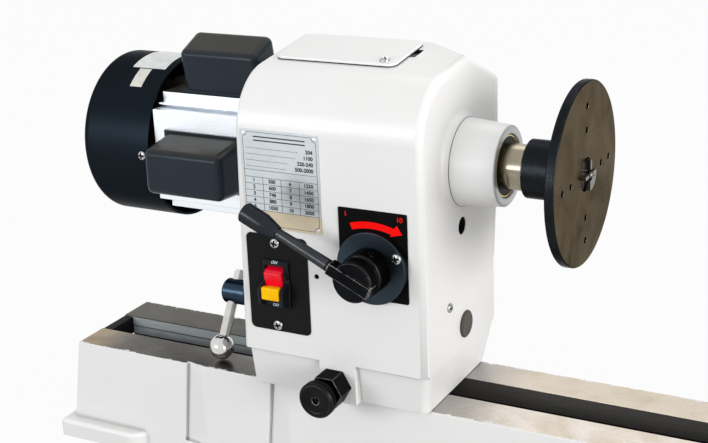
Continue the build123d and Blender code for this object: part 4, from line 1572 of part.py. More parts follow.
write_node("motor_rotor", head_place * make_motor_rotor())
write_node("cooling_fan", head_place * make_cooling_fan())
motor_fixed = motor_sheave(MOTOR_FIXED_FACE, -1, MOTOR_FIXED_END, MOTOR_SHEAVE_HUB + 4)
write_node("motor_fixed_sheave", head_place * motor_fixed)
motor_moving = motor_sheave(MOTOR_MOVING_FACE, 1, MOTOR_MOVING_BACK - 4, MOTOR_SHEAVE_HUB)
write_node("motor_moving_sheave", head_place * motor_moving)
write_node("sheave_spring", head_place * make_sheave_spring())

write_node("speed_knob", head_place * make_speed_knob())
write_node("speed_lever_rod", head_place * make_lever_rod())
write_node("speed_lever_grip", head_place * make_lever_grip())
write_node("switch_rocker", head_place * make_switch_rocker())
write_node("safety_key", head_place * make_safety_key())
write_node("index_pin", head_place * make_index_pin())
write_node("clamp_cam_shaft", head_place * make_cam_shaft())
write_node("clamp_lever", head_place * make_clamp_lever())

write_node("banjo_guide", rest_place * make_banjo_guide())
write_node("banjo_bolt", rest_place * make_banjo_bolt())
write_node("banjo", rest_place * make_banjo())
write_node("banjo_lever", rest_place * make_banjo_lever())
write_node("tool_rest", rest_place * make_tool_rest())
write_node("rest_lock", rest_place * make_rest_lock())

write_node("tailstock_casting", tail_place * make_tailstock())
write_node("tailstock_clamp", tail_place * make_tailstock_clamp())
write_node("tailstock_lever", tail_place * make_tailstock_lever())
write_node("tailstock_quill", *[tail_place * piece for piece in make_quill()])
write_node("live_centre", tail_place * make_live_centre())
write_node("handwheel", *[tail_place * piece for piece in make_handwheel()])
write_node("quill_lock", tail_place * make_quill_lock())
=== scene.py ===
from math import cos, pi, radians, sin, sqrt

import bmesh
import bpy
from mathutils import Matrix, Vector


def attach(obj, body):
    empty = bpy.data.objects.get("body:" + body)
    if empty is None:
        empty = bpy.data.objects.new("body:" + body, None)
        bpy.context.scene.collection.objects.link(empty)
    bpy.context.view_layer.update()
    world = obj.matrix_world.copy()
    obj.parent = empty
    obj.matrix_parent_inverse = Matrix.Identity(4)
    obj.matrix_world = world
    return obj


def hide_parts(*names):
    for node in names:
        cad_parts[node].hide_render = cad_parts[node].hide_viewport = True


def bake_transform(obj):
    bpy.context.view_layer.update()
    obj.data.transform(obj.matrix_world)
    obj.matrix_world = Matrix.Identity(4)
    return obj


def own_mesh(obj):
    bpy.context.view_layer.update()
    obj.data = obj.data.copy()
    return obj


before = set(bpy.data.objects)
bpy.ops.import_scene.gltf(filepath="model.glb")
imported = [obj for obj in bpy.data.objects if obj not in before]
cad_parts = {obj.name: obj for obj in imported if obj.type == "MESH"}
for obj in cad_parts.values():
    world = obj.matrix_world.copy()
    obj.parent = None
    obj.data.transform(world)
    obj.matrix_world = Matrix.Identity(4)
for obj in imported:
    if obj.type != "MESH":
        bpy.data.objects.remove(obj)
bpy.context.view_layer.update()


# Bed: one iron casting, sprayed white outside and painted black in its gap and hollow as painted shade,
# with two ways ground bare on top. The ways left of the headstock are painted dark as painted
# reflection of dark surroundings, brown rust spots the right, and paint flakes off their edges.
MM = 0.001
WAY_TOP = 95 * MM
WAY_EDGE = 55 * MM
GAP_HALF = 18 * MM
GAP_LOW = 60 * MM
WALL_LOW = 77 * MM
DARK_LINE_HEIGHT = 85 * MM
FOOT_TOP = 18 * MM
HOLLOW_HALF = 46 * MM
HOLLOW_END = 541 * MM
HARD_ANGLE = radians(40)
WHITE = (0.800, 0.797, 0.792, 1.0)
WHITE_SHADE = (0.772, 0.766, 0.758, 1.0)


def put(tree, kind, inputs=None, **settings):
    """One node in a tree: its settings first, then its inputs, each a value or another node's
    socket."""
    made = tree.nodes.new(kind)
    for key, value in settings.items():
        setattr(made, key, value)
    for key, value in (inputs or {}).items():
        if isinstance(value, bpy.types.NodeSocket):
            tree.links.new(value, made.inputs[key])
        else:
            made.inputs[key].default_value = value
    return made


def maths(tree, operation, *values):
    """The result socket of one sum."""
    return put(tree, "ShaderNodeMath", dict(enumerate(values)), operation=operation).outputs[0]


def spread(tree, value, low, high, to_low=0.0, to_high=1.0):
    """A value taken from one range to another, clamped."""
    inputs = {"Value": value, "From Min": low, "From Max": high, "To Min": to_low, "To Max": to_high}
    return put(tree, "ShaderNodeMapRange", inputs).outputs[0]


def blend(tree, share, first, second):
    """Two colours mixed by a share that changes over the surface."""
    return put(tree, "ShaderNodeMix", {0: share, 6: first, 7: second}, data_type="RGBA").outputs[2]


def mean(tree, first, second):
    """Halfway between two values."""
    return maths(tree, "MULTIPLY", maths(tree, "ADD", first, second), 0.5)


def own_place(tree):
    """Where a point lies on the object."""
    return put(tree, "ShaderNodeTexCoord").outputs["Object"]


def own_axes(tree):
    """Where a point lies on the object, as x, y and z."""
    return put(tree, "ShaderNodeSeparateXYZ", {0: own_place(tree)}).outputs


def noise(tree, scale, detail, place=None):
    """Clouds that keep their place on the object."""
    inputs = {"Vector": place or own_place(tree), "Scale": scale, "Detail": detail}
    return put(tree, "ShaderNodeTexNoise", inputs).outputs[0]


def new_group(name, inputs, outputs):
    """A shader node group with its named sockets, and its input and output nodes."""
    tree = bpy.data.node_groups.new(name, "ShaderNodeTree")
    for label, value in inputs.items():
        kind = "NodeSocketFloat"
        if not isinstance(value, float):
            kind = "NodeSocketColor" if len(value) == 4 else "NodeSocketVector"
        tree.interface.new_socket(label, in_out="INPUT", socket_type=kind).default_value = value
    for label, kind in outputs.items():
        tree.interface.new_socket(label, in_out="OUTPUT", socket_type=kind)
    return tree, tree.nodes.new("NodeGroupInput").outputs, tree.nodes.new("NodeGroupOutput").inputs


def make_paint_skin():
    """Sprayed paint or moulded plastic: broad faint mottling, a fine peel and an uneven gloss."""
    inputs = {"Colour": WHITE, "Shade": WHITE_SHADE, "Mottle Scale": 9.0, "Peel Scale": 420.0,
              "Roughness": 0.4, "Gloss Spread": 0.05}
    outputs = {"Colour": "NodeSocketColor", "Roughness": "NodeSocketFloat", "Height": "NodeSocketFloat"}
    tree, given, out = new_group("paint_skin", inputs, outputs)
    share = spread(tree, noise(tree, given["Mottle Scale"], 4.0), 0.35, 0.75)
    tree.links.new(blend(tree, share, given["Colour"], given["Shade"]), out["Colour"])
    offset = maths(tree, "MULTIPLY", maths(tree, "SUBTRACT", share, 0.5), given["Gloss Spread"])
    tree.links.new(maths(tree, "ADD", given["Roughness"], offset), out["Roughness"])
    tree.links.new(noise(tree, given["Peel Scale"], 2.0), out["Height"])
    return tree


def make_edge_wear_and_glint():
    """A mask along hard edges, broken up by a patchy noise."""
    inputs = {"Radius": 0.0006, "Patch Scale": 90.0, "Amount": 1.0}
    tree, given, out = new_group("edge_wear_and_glint", inputs, {"Mask": "NodeSocketFloat"})
    rounded = put(tree, "ShaderNodeBevel", {"Radius": given["Radius"]}, samples=6)
    flat = put(tree, "ShaderNodeNewGeometry").outputs["Normal"]
    turn = put(tree, "ShaderNodeVectorMath", {0: rounded.outputs[0], 1: flat}, operation="DOT_PRODUCT")
    edge = spread(tree, turn.outputs["Value"], 0.99, 0.90)
    patch = spread(tree, noise(tree, given["Patch Scale"], 5.0), 0.36, 0.56)
    mask = maths(tree, "MULTIPLY", maths(tree, "MULTIPLY", edge, patch), given["Amount"])
    tree.links.new(mask, out["Mask"])
    return tree


def make_tool_marks():
    """Fine marks of grinding, brushing or drawing, long in the direction in which they are
    stretched least."""
    inputs = {"Stretch": (1.0, 40.0, 40.0), "Scale": 60.0}
    tree, given, out = new_group("tool_marks", inputs, {"Lines": "NodeSocketFloat"})
    inputs = {0: own_place(tree), 1: given["Stretch"]}
    long = put(tree, "ShaderNodeVectorMath", inputs, operation="MULTIPLY").outputs[0]
    tree.links.new(spread(tree, noise(tree, given["Scale"], 4.0, long), 0.3, 0.7), out["Lines"])
    return tree


def make_stain():
    """Cloudy stains with ragged rims."""
    inputs = {"Scale": 14.0, "Bare": 0.5, "Full": 0.65}
    tree, given, out = new_group("stain", inputs, {"Mask": "NodeSocketFloat"})
    inputs = {"Vector": own_place(tree), "Scale": given["Scale"], "Detail": 7.0, "Roughness": 0.62,
              "Distortion": 0.6}
    cloud = put(tree, "ShaderNodeTexNoise", inputs).outputs[0]
    tree.links.new(spread(tree, cloud, given["Bare"], given["Full"]), out["Mask"])
    return tree


def make_top_dust_sheen():
    """A brownish film on what looks up: dust, and painted reflection of a warm light above."""
    inputs = {"Amount": 1.0, "Scale": 45.0}
    tree, given, out = new_group("top_dust_sheen", inputs, {"Mask": "NodeSocketFloat"})
    normal = put(tree, "ShaderNodeNewGeometry").outputs["Normal"]
    up = put(tree, "ShaderNodeSeparateXYZ", {0: normal}).outputs["Z"]
    patchy = spread(tree, noise(tree, given["Scale"], 5.0), 0.25, 0.7, 0.7, 1.0)
    film = maths(tree, "MULTIPLY", spread(tree, up, 0.45, 0.95), patchy)
    tree.links.new(maths(tree, "MULTIPLY", film, given["Amount"]), out["Mask"])
    return tree


def make_corner_shade():
    """Painted shade in inside corners and in hollows."""
    inputs = {"Amount": 1.0, "Reach": 0.014}
    tree, given, out = new_group("corner_shade", inputs, {"Mask": "NodeSocketFloat"})
    inputs = {"Distance": given["Reach"]}
    near = put(tree, "ShaderNodeAmbientOcclusion", inputs, samples=12, only_local=True)
    closed = spread(tree, near.outputs["AO"], 0.95, 0.30)
    tree.links.new(maths(tree, "MULTIPLY", closed, given["Amount"]), out["Mask"])
    return tree


paint_skin = make_paint_skin()
edge_wear_and_glint = make_edge_wear_and_glint()
tool_marks = make_tool_marks()
stain = make_stain()
top_dust_sheen = make_top_dust_sheen()
corner_shade = make_corner_shade()


def new_finish(name):
    """An empty material, with its tree and its shader."""
    made = bpy.data.materials.new(name)
    made.use_nodes = True
    return made, made.node_tree, made.node_tree.nodes["Principled BSDF"]


def effect(tree, group, **inputs):
    """The mask or marks that a node group puts out at its own values."""
    return put(tree, "ShaderNodeGroup", inputs, node_tree=group).outputs[0]


def dress(tree, shader, tone, roughness, height, depth, strength=1.0):
    """A shader's colour, roughness and bump."""
    tree.links.new(tone, shader.inputs["Base Color"])
    tree.links.new(roughness, shader.inputs["Roughness"])
    inputs = {"Height": height, "Distance": depth, "Strength": strength}
    tree.links.new(put(tree, "ShaderNodeBump", inputs).outputs[0], shader.inputs["Normal"])


def painted(name, colour, shade, roughness, peel=420.0, depth=0.00012, specular=0.5, spots=9.0,
            wear_and_glint=None, dust_and_sheen=None, corner_shading=()):
    """Paint or plastic; wear_and_glint is its radius, amount and colour on edges, worn and partly a
    painted glint, dust_and_sheen the amount and colour of a film on what looks up, dust and painted
    reflection, and corner_shading lists the amount, reach and colour of each layer of painted shade in
    corners."""
    made, tree, shader = new_finish(name)
    inputs = {"Colour": colour, "Shade": shade, "Roughness": roughness, "Peel Scale": peel,
              "Mottle Scale": spots}
    skin = put(tree, "ShaderNodeGroup", inputs, node_tree=paint_skin).outputs
    tone = skin["Colour"]
    if wear_and_glint:
        tone = blend(tree, effect(tree, edge_wear_and_glint, Radius=wear_and_glint[0], Amount=wear_and_glint[1]), tone, wear_and_glint[2])
    if dust_and_sheen:
        tone = blend(tree, effect(tree, top_dust_sheen, Amount=dust_and_sheen[0]), tone, dust_and_sheen[1])
    for amount, reach, shade_colour in corner_shading:
        tone = blend(tree, effect(tree, corner_shade, Amount=amount, Reach=reach), tone, shade_colour)
    dress(tree, shader, tone, skin["Roughness"], skin["Height"], depth)
    shader.inputs["Specular IOR Level"].default_value = specular
    return made


def bare_metal(name, colour, shade, smooth, rough, stretch, scale=60.0, depth=0.00002):
    """Bare or plated metal with its tool marks; smooth and rough are the ends of its roughness."""
    made, tree, shader = new_finish(name)
    marks = effect(tree, tool_marks, Stretch=stretch, Scale=scale)
    cloud = effect(tree, stain, Scale=30.0, Bare=0.3, Full=0.75)
    share = mean(tree, marks, cloud)
    roughness = spread(tree, share, 0.0, 1.0, smooth, rough)
    dress(tree, shader, blend(tree, share, colour, shade), roughness, marks, depth)
    shader.inputs["Metallic"].default_value = 1.0
    return made


def add(name, data):
    """A new object in the scene, at the origin."""
    made = bpy.data.objects.new(name, data)
    bpy.context.scene.collection.objects.link(made)
    return made


def cad_copy(node, edge=0.0, keep=None, sharp=None, cutter=None):
    """A merged and smoothed copy of a CAD node, its hard edges broken by so many millimetres but
    where they stay sharp."""
    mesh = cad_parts[node].data.copy()
    mesh.materials.clear()
    shape = bmesh.new()
    shape.from_mesh(mesh)
    bmesh.ops.remove_doubles(shape, verts=shape.verts, dist=2e-6)
    if keep:
        unwanted = [face for face in shape.faces if not keep(face.calc_center_median())]
        bmesh.ops.delete(shape, geom=unwanted, context="FACES")
    bmesh.ops.dissolve_limit(shape, angle_limit=radians(0.3), verts=shape.verts, edges=shape.edges)
    if cutter:
        shape.to_mesh(mesh)
        shape.free()
        mesh = less(mesh, cutter)
        shape = bmesh.new()
        shape.from_mesh(mesh)
    weight = shape.edges.layers.float.new("bevel_weight_edge")
    for line in shape.edges:
        middle = (line.verts[0].co + line.verts[1].co) / 2
        if line.calc_face_angle(0.0) > HARD_ANGLE and not (sharp and sharp(middle)):
            line[weight] = 1.0
    shape.to_mesh(mesh)
    shape.free()
    if "custom_normal" in mesh.attributes:
        mesh.attributes.remove(mesh.attributes["custom_normal"])
    mesh.shade_smooth()
    mesh.set_sharp_from_angle(angle=HARD_ANGLE)
    piece = add(node + "_finished", mesh)
    if edge:
        broken = piece.modifiers.new("broken edges", "BEVEL")
        broken.width = edge * MM
        broken.segments = 2
        broken.limit_method = "WEIGHT"
        broken.use_clamp_overlap = False
    weighted = piece.modifiers.new("face weights", "WEIGHTED_NORMAL")
    weighted.keep_sharp = not edge
    return settle(piece)


def less(mesh, cutter):
    """A mesh with the room of a cutter taken out of it."""
    whole = add("uncut", mesh)
    cut = whole.modifiers.new("cut", "BOOLEAN")
    cut.object = cutter
    cut.solver = "EXACT"
    mesh = settle(whole).data
    bpy.data.objects.remove(whole)
    bpy.data.objects.remove(cutter)
    return mesh


def settle(piece):
    """The piece with its modifiers made part of its mesh."""
    graph = bpy.context.evaluated_depsgraph_get()
    mesh = bpy.data.meshes.new_from_object(piece.evaluated_get(graph), depsgraph=graph)
    piece.modifiers.clear()
    piece.data = mesh
    mesh.name = piece.name
    return piece


def finish_faces(piece, index, test):
    """Gives the faces that a test picks, by centre and normal, another of the piece's finishes."""
    for face in piece.data.polygons:
        if test(face.center, face.normal):
            face.material_index = index


def fit(piece, body, slot, *finishes, stands_for=None):
    """The piece's finishes, and its place on a body, in the stead of its CAD node."""
    if not piece.data.materials:
        for finish in finishes:
            piece.data.materials.append(finish)
    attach(piece, body)
    if stands_for:
        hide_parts(stands_for)
    return piece


# The white paint darkens in hollows and in tight inside corners: two layers of painted shade.
white_paint = painted("white_paint", WHITE, WHITE_SHADE, 0.34,
                      corner_shading=((0.45, 0.014, (0.36, 0.35, 0.345, 1.0)),
                             (0.95, 0.0035, (0.10, 0.097, 0.095, 1.0))))


def make_ground_way():
    """Ground iron: painted dark on the left as painted reflection of dark surroundings, pale on the
    right, with rust clouds and flakes of paint at the edge."""
    made, tree, shader = new_finish("ground_way")
    axis = own_axes(tree)
    marks = effect(tree, tool_marks, Stretch=(1.0, 45.0, 45.0), Scale=45.0)
    rust = effect(tree, stain, Scale=22.0, Bare=0.44, Full=0.70)
    dark_cloud = effect(tree, stain, Scale=16.0, Bare=0.30, Full=0.66)
    rear = spread(tree, axis["Y"], -0.005, 0.005)
    pale = blend(tree, rear, (0.76, 0.695, 0.63, 1.0), (0.65, 0.570, 0.475, 1.0))
    pale = blend(tree, rust, pale, (0.50, 0.425, 0.325, 1.0))
    # The dark tones here, and the grey band that leads to the pale right, are painted reflection of
    # dark surroundings.
    dark = blend(tree, dark_cloud, (0.085, 0.080, 0.071, 1.0), (0.165, 0.156, 0.141, 1.0))
    dark = blend(tree, maths(tree, "MULTIPLY", rear, 0.8), dark, (0.060, 0.057, 0.044, 1.0))
    brown = blend(tree, rust, (0.42, 0.33, 0.205, 1.0), (0.22, 0.17, 0.105, 1.0))
    left_end = spread(tree, axis["X"], -0.550, -0.505, 1.0, 0.0)
    left_end = maths(tree, "MULTIPLY", left_end, maths(tree, "SUBTRACT", 1.0, rear))
    tone = blend(tree, left_end, dark, brown)
    tone = blend(tree, spread(tree, axis["X"], -0.215, -0.180), tone, (0.40, 0.385, 0.365, 1.0))
    tone = blend(tree, spread(tree, axis["X"], -0.175, -0.125), tone, pale)
    outward = maths(tree, "ABSOLUTE", axis["Y"])
    rim = spread(tree, outward, WAY_EDGE - 5 * MM, WAY_EDGE - 0.5 * MM, 0.0, 0.36)
    flake = spread(tree, maths(tree, "ADD", noise(tree, 130.0, 4.0), rim), 0.79, 0.83)
    roughness = spread(tree, mean(tree, marks, rust), 0.0, 1.0, 0.22, 0.42)
    dress(tree, shader, blend(tree, flake, tone, WHITE), roughness, marks, 0.00003, 0.6)
    tree.links.new(maths(tree, "SUBTRACT", 1.0, flake), shader.inputs["Metallic"])
    return made


ground_way = make_ground_way()


def make_gap_wall():
    """The gap's milled walls: grey on the left, dark on the right, with a thin dark line along them,
    and black at the foot as painted shadow."""
    made, tree, shader = new_finish("milled_gap_wall")
    axis = own_axes(tree)
    marks = effect(tree, tool_marks, Stretch=(1.0, 30.0, 30.0), Scale=50.0)
    grey = blend(tree, marks, (0.40, 0.43, 0.44, 1.0), (0.27, 0.29, 0.30, 1.0))
    away = maths(tree, "ABSOLUTE", maths(tree, "SUBTRACT", axis["Z"], DARK_LINE_HEIGHT))
    grey = blend(tree, spread(tree, away, 0.4 * MM, 0.9 * MM, 1.0, 0.0), grey, (0.10, 0.10, 0.10, 1.0))
    dark_tone = blend(tree, marks, (0.075, 0.072, 0.069, 1.0), (0.045, 0.043, 0.041, 1.0))
    wall = blend(tree, spread(tree, axis["X"], -0.34, -0.25), grey, dark_tone)
    # Below the wall's foot the colour turns black: painted shadow under the wall.
    foot = spread(tree, axis["Z"], WALL_LOW - 0.2 * MM, WALL_LOW + 0.2 * MM, 1.0, 0.0)
    tone = blend(tree, foot, wall, (0.004, 0.004, 0.004, 1.0))
    dress(tree, shader, tone, spread(tree, marks, 0.0, 1.0, 0.4, 0.55), marks, 0.00003)
    shader.inputs["Specular IOR Level"].default_value = 0.1
    return made


gap_wall = make_gap_wall()
# A flat black that stands for shade: painted shade in the bed's hollow and gap, inside the headstock,
# in the lid notch and in screw recesses.
shade_black = painted("shade_black_paint", (0.006, 0.006, 0.006, 1.0), (0.010, 0.009, 0.009, 1.0), 0.6,
                       300.0, 0.0002, 0.12)
bed = cad_copy("bed_casting", 0.7)
# The bed's hollow, the gap's floor and its end bridge are painted black: painted shade.
finish_faces(bed, 3, lambda c, n: abs(c.y) < HOLLOW_HALF and c.z < WAY_TOP - 1.2 * MM
             and abs(c.x) < HOLLOW_END and not (n.z > 0.9 and c.z < FOOT_TOP))
finish_faces(bed, 3, lambda c, n: abs(c.y) < GAP_HALF and GAP_LOW < c.z < WAY_TOP - 0.25 * MM
             and n.z > 0.9)
finish_faces(bed, 2, lambda c, n: abs(abs(c.y) - GAP_HALF) < 0.4 * MM and abs(n.y) > 0.9
             and c.z > GAP_LOW)
finish_faces(bed, 1, lambda c, n: n.z > 0.99 and c.z > WAY_TOP - 0.2 * MM)
finish_faces(bed, 1, lambda c, n: abs(abs(c.y) - GAP_HALF) < 0.9 * MM and 0.2 < n.z < 0.99
             and c.z > WAY_TOP - 0.9 * MM)
fit(bed, "bed", "white_paint", white_paint, ground_way, gap_wall, shade_black,
    stands_for="bed_casting")


# Swivel base under the headstock: a turned iron disc with index notches and a tongue in the gap,
# drawn down by a steel pivot bolt and an iron plate under the ways.
cast_iron = bare_metal("machined_iron", (0.20, 0.195, 0.185, 1.0), (0.12, 0.115, 0.11, 1.0), 0.35, 0.55,
                       (1.0, 1.0, 1.0), 120.0, 0.00005)
bright_steel = bare_metal("bright_steel", (0.62, 0.61, 0.585, 1.0), (0.50, 0.485, 0.46, 1.0), 0.16,
                          0.30, (40.0, 1.0, 1.0), 70.0)


def fit_nodes(*pieces):
    """Finished copies of CAD nodes, each given by its node, broken edge, body, slot and finish."""
    for node, edge, body, slot, finish in pieces:
        fit(cad_copy(node, edge), body, slot, finish, stands_for=node)


fit_nodes(("swivel_base", 0.5, "headstock_slide_base", "cast_iron", cast_iron),
          ("headstock_clamp_plate", 0.5, "headstock_slide_base", "cast_iron", cast_iron),
          ("pivot_bolt", 0.3, "headstock", "bright_steel", bright_steel))


# Headstock casting: a hollow iron box with a round spindle boss, filled, sprayed white and baked.
# Only the boss's end face is turned bare after painting. The faces under the ledges of its base are
# painted dark as painted shade, and its inside and the notch by the lid are painted black as painted
# shade.
BOSS_FACE = -131.7 * MM
SPINDLE_LINE = Vector((0, 0, 299 * MM))
HEAD_FRONT, HEAD_RIGHT, BASE_TOP = -70 * MM, -175.5 * MM, 136 * MM
LID_UP = Vector((0, -sin(radians(7.4)), cos(radians(7.4))))
LID_SEAT = Vector((0, -16.96 * MM, 376.4 * MM))
NOTCH_LEFT, NOTCH_RIGHT = -233 * MM, -218 * MM
NOTCH_FRONT, NOTCH_BACK = 4 * MM, 36 * MM
LEDGE_LOW, LEDGE_HIGH, LEDGE_LEFT = 118 * MM, 140 * MM, -210 * MM
CORNER_LOW = Vector((-180, -62, 95.3)) * MM
CORNER_HIGH = Vector((-175.5, -66.5, 130.98)) * MM
CORNER_RADIUS = 7 * MM


def make_turned_rings():
    """Marks of a turning tool: rings about the spindle line."""
    inputs = {"Centre": tuple(SPINDLE_LINE), "Scale": 900.0}
    tree, given, out = new_group("turned_rings", inputs, {"Rings": "NodeSocketFloat"})
    inputs = {0: own_place(tree), 1: given["Centre"]}
    away = put(tree, "ShaderNodeVectorMath", inputs, operation="SUBTRACT").outputs[0]
    inputs = {0: away, 1: (0.0, 1.0, 1.0)}
    flat = put(tree, "ShaderNodeVectorMath", inputs, operation="MULTIPLY").outputs[0]
    radius = put(tree, "ShaderNodeVectorMath", {0: flat}, operation="LENGTH").outputs["Value"]
    inputs = {"W": maths(tree, "MULTIPLY", radius, given["Scale"]), "Scale": 1.0, "Detail": 3.0}
    bands = put(tree, "ShaderNodeTexNoise", inputs, noise_dimensions="1D").outputs[0]
    tree.links.new(spread(tree, bands, 0.3, 0.7), out["Rings"])
    return tree


turned_rings = make_turned_rings()


def turned_metal(name, colour, shade, smooth, rough, depth=0.00002, scale=900.0, clouds=0.5,
                 grazing=1.0):
    """A faced or turned metal surface, with rings about the spindle line and cloudy handling
    marks."""
    made, tree, shader = new_finish(name)
    rings = effect(tree, turned_rings, Scale=scale)
    cloud = effect(tree, stain, Scale=24.0, Bare=0.35, Full=0.75)
    marks = maths(tree, "MULTIPLY", rings, 1.0 - clouds)
    share = maths(tree, "ADD", marks, maths(tree, "MULTIPLY", cloud, clouds))
    roughness = spread(tree, share, 0.0, 1.0, smooth, rough)
    dress(tree, shader, blend(tree, share, colour, shade), roughness, rings, depth)
    shader.inputs["Metallic"].default_value = 1.0
    shader.inputs["Specular Tint"].default_value = (grazing, grazing, grazing, 1.0)
    return made


def looks_inward(piece, centre, normal):
    """Whether a face of a hollow piece looks at another wall of it."""
    return piece.ray_cast(centre + normal * 0.3 * MM, normal, distance=400 * MM)[0]


def closed_piece(name, shape, round_sides=False):
    """A piece made from a finished shape, with its faces turned outwards and round sides shaded
    smooth."""
    bmesh.ops.recalc_face_normals(shape, faces=shape.faces)
    mesh = bpy.data.meshes.new(name)
    shape.to_mesh(mesh)
    shape.free()
    if round_sides:
        mesh.shade_smooth()
        mesh.set_sharp_from_angle(angle=HARD_ANGLE)
    return add(name, mesh)


def corner_cutter(low, high, radius):
    """What a rounded corner leaves of a square one between two points of a leaning edge, on the
    right and in front."""
    shape = bmesh.new()
    rings = []
    for corner in (low - (high - low) * 0.05, high):
        outline = [Vector((1 * MM, -1 * MM, 0)), Vector((-radius, -1 * MM, 0))]
        outline += [Vector((-radius + radius * sin(turn), radius - radius * cos(turn), 0))
                    for turn in (radians(90 * step / 10) for step in range(11))]
        outline += [Vector((1 * MM, radius, 0))]
        rings.append([shape.verts.new(corner + point) for point in outline])
    count = len(rings[0])
    shape.faces.new(rings[0])
    shape.faces.new(rings[1])
    for step in range(count):
        after = (step + 1) % count
        shape.faces.new((rings[0][step], rings[0][after], rings[1][after], rings[1][step]))
    return closed_piece("corner_cutter", shape)


faced_iron = turned_metal("faced_boss_end", (0.50, 0.497, 0.50, 1.0), (0.41, 0.405, 0.40, 1.0), 0.25,
                          0.38)
painted_ledge_shade = painted("painted_ledge_shade", (0.17, 0.165, 0.16, 1.0), (0.26, 0.255, 0.25, 1.0), 0.5, 420.0,
                      0.00012, 0.3, 60.0)
headstock = cad_copy("headstock_casting", 0.8,
                     sharp=lambda m: m.x > LEDGE_LEFT and LEDGE_LOW < m.z < LEDGE_HIGH,
                     cutter=corner_cutter(CORNER_LOW, CORNER_HIGH, CORNER_RADIUS))
finish_faces(headstock, 1, lambda c, n: n.x > 0.98 and c.x > BOSS_FACE - 0.1 * MM)
# Inside faces seen through the casting's holes, and the notch beside the lid, are painted black:
# painted shade.
finish_faces(headstock, 2, lambda c, n: c.z > BASE_TOP and c.y > HEAD_FRONT + 1 * MM
             and c.x < HEAD_RIGHT - 1 * MM and looks_inward(headstock, c, n))
finish_faces(headstock, 2, lambda c, n: (c - LID_SEAT).dot(LID_UP) < -0.3 * MM
             and NOTCH_LEFT < c.x < NOTCH_RIGHT and NOTCH_FRONT < c.y < NOTCH_BACK
             and c.z > LID_SEAT.z - 4 * MM and n.dot(LID_UP) < 0.8)
# Faces that look down under the base's ledges take a dark paint: painted shade.
finish_faces(headstock, 3, lambda c, n: n.z < -0.5 and LEDGE_LOW < c.z < LEDGE_HIGH
             and c.y < HEAD_FRONT + 8 * MM)
fit(headstock, "headstock", "white_paint", white_paint, faced_iron, shade_black, painted_ledge_shade,
    stands_for="headstock_casting")


# Rear housing and lid: a thin casting that closes the belt box behind, and a sheet-steel lid on a
# black rubber gasket that also stands as painted shadow under the lid's edge, both sprayed with the
# headstock's paint and held by screws. A moulded gland and a rubber plug close two holes.
# The lid's paint darkens in its inside corners: painted shade.
cover_paint = painted("cover_paint", WHITE, WHITE_SHADE, 0.40, 500.0, 0.00008,
                      corner_shading=((0.6, 0.014, (0.36, 0.35, 0.345, 1.0)),))
plug_rubber = painted("plug_rubber", (0.050, 0.046, 0.040, 1.0), (0.085, 0.077, 0.064, 1.0), 0.55,
                      700.0, 0.00015, 0.2, 120.0)
fit_nodes(("rear_housing", 0.8, "headstock", "white_paint", white_paint),
          ("top_cover", 0.5, "headstock", "white_paint", cover_paint),
          ("cable_gland", 0.3, "headstock", "black_plastic", plug_rubber),
          ("side_plug", 0.4, "headstock", "black_plastic", plug_rubber))


def thin_slab(name, ring, hollow, lift, thick, up):
    """A flat ring between two outlines with as many points, raised by a lift and a thickness along
    its facing."""
    shape = bmesh.new()
    low, high = [[[shape.verts.new(point + up * rise) for point in loop] for loop in (ring, hollow)]
                 for rise in (lift, lift + thick)]
    for step in range(len(ring)):
        after = (step + 1) % len(ring)
        for first, second in ((low[0], high[0]), (high[0], high[1]), (high[1], low[1]),
                              (low[1], low[0])):
            shape.faces.new((first[step], first[after], second[after], second[step]))
    return closed_piece(name, shape)


LID_MIDDLE = Vector((-280 * MM, 0, 0)) + LID_SEAT + Vector((0, LID_UP.z, -LID_UP.y)) * 30 * MM


def lid_outline(half_length, half_width, corner, steps=6):
    """A rounded rectangle on the seat of the lid."""
    points = []
    for across, along, start in ((1, 1, 0), (-1, 1, 90), (-1, -1, 180), (1, -1, 270)):
        for step in range(steps + 1):
            turn = radians(start + 90 * step / steps)
            x = across * (half_length - corner) + corner * cos(turn)
            y = along * (half_width - corner) + corner * sin(turn)
            points.append(LID_MIDDLE + Vector((x, y * LID_UP.z, -y * LID_UP.y)) * MM)
    return points


# The gasket is black partly as rubber and partly as painted shadow under the lid's edge.
gasket_and_shadow = thin_slab("lid_gasket_and_shadow", lid_outline(56.3, 30.3, 7.3), lid_outline(53, 27, 4), 0.05 * MM,
                   0.85 * MM, LID_UP)
gasket_and_shadow_rubber = painted("gasket_and_shadow_rubber", (0.012, 0.012, 0.012, 1.0), (0.020, 0.019, 0.018, 1.0), 0.6,
                        700.0, 0.0001, 0.2)
fit(gasket_and_shadow, "headstock", "black_plastic", gasket_and_shadow_rubber)


# Spindle and its bearings: a ground steel spindle with a threaded nose, in two sealed ball bearings
# that a brass spacer and a blackened ring nut hold. The nose collar has two wrench flats.
def make_chrome():
    """Polished chrome, cloudy with handling."""
    made, tree, shader = new_finish("polished_chrome")
    cloud = effect(tree, stain, Scale=40.0, Bare=0.3, Full=0.75)
    tone = blend(tree, cloud, (0.76, 0.755, 0.74, 1.0), (0.54, 0.535, 0.52, 1.0))
    dress(tree, shader, tone, spread(tree, cloud, 0.0, 1.0, 0.05, 0.14), cloud, 0.000003)
    shader.inputs["Metallic"].default_value = 1.0
    return made


def blackened(name, colour, shade, roughness, peel, depth, spots, wear_and_glint):
    """Blackened or enamelled metal, which mirrors little at any slant and is bright along its edges,
    worn there and with painted glints."""
    made = painted(name, colour, shade, roughness, peel, depth, 0.5, spots, wear_and_glint)
    shader = made.node_tree.nodes["Principled BSDF"]
    shader.inputs["Metallic"].default_value = 1.0
    shader.inputs["Specular Tint"].default_value = (0.5, 0.5, 0.5, 1.0)
    return made


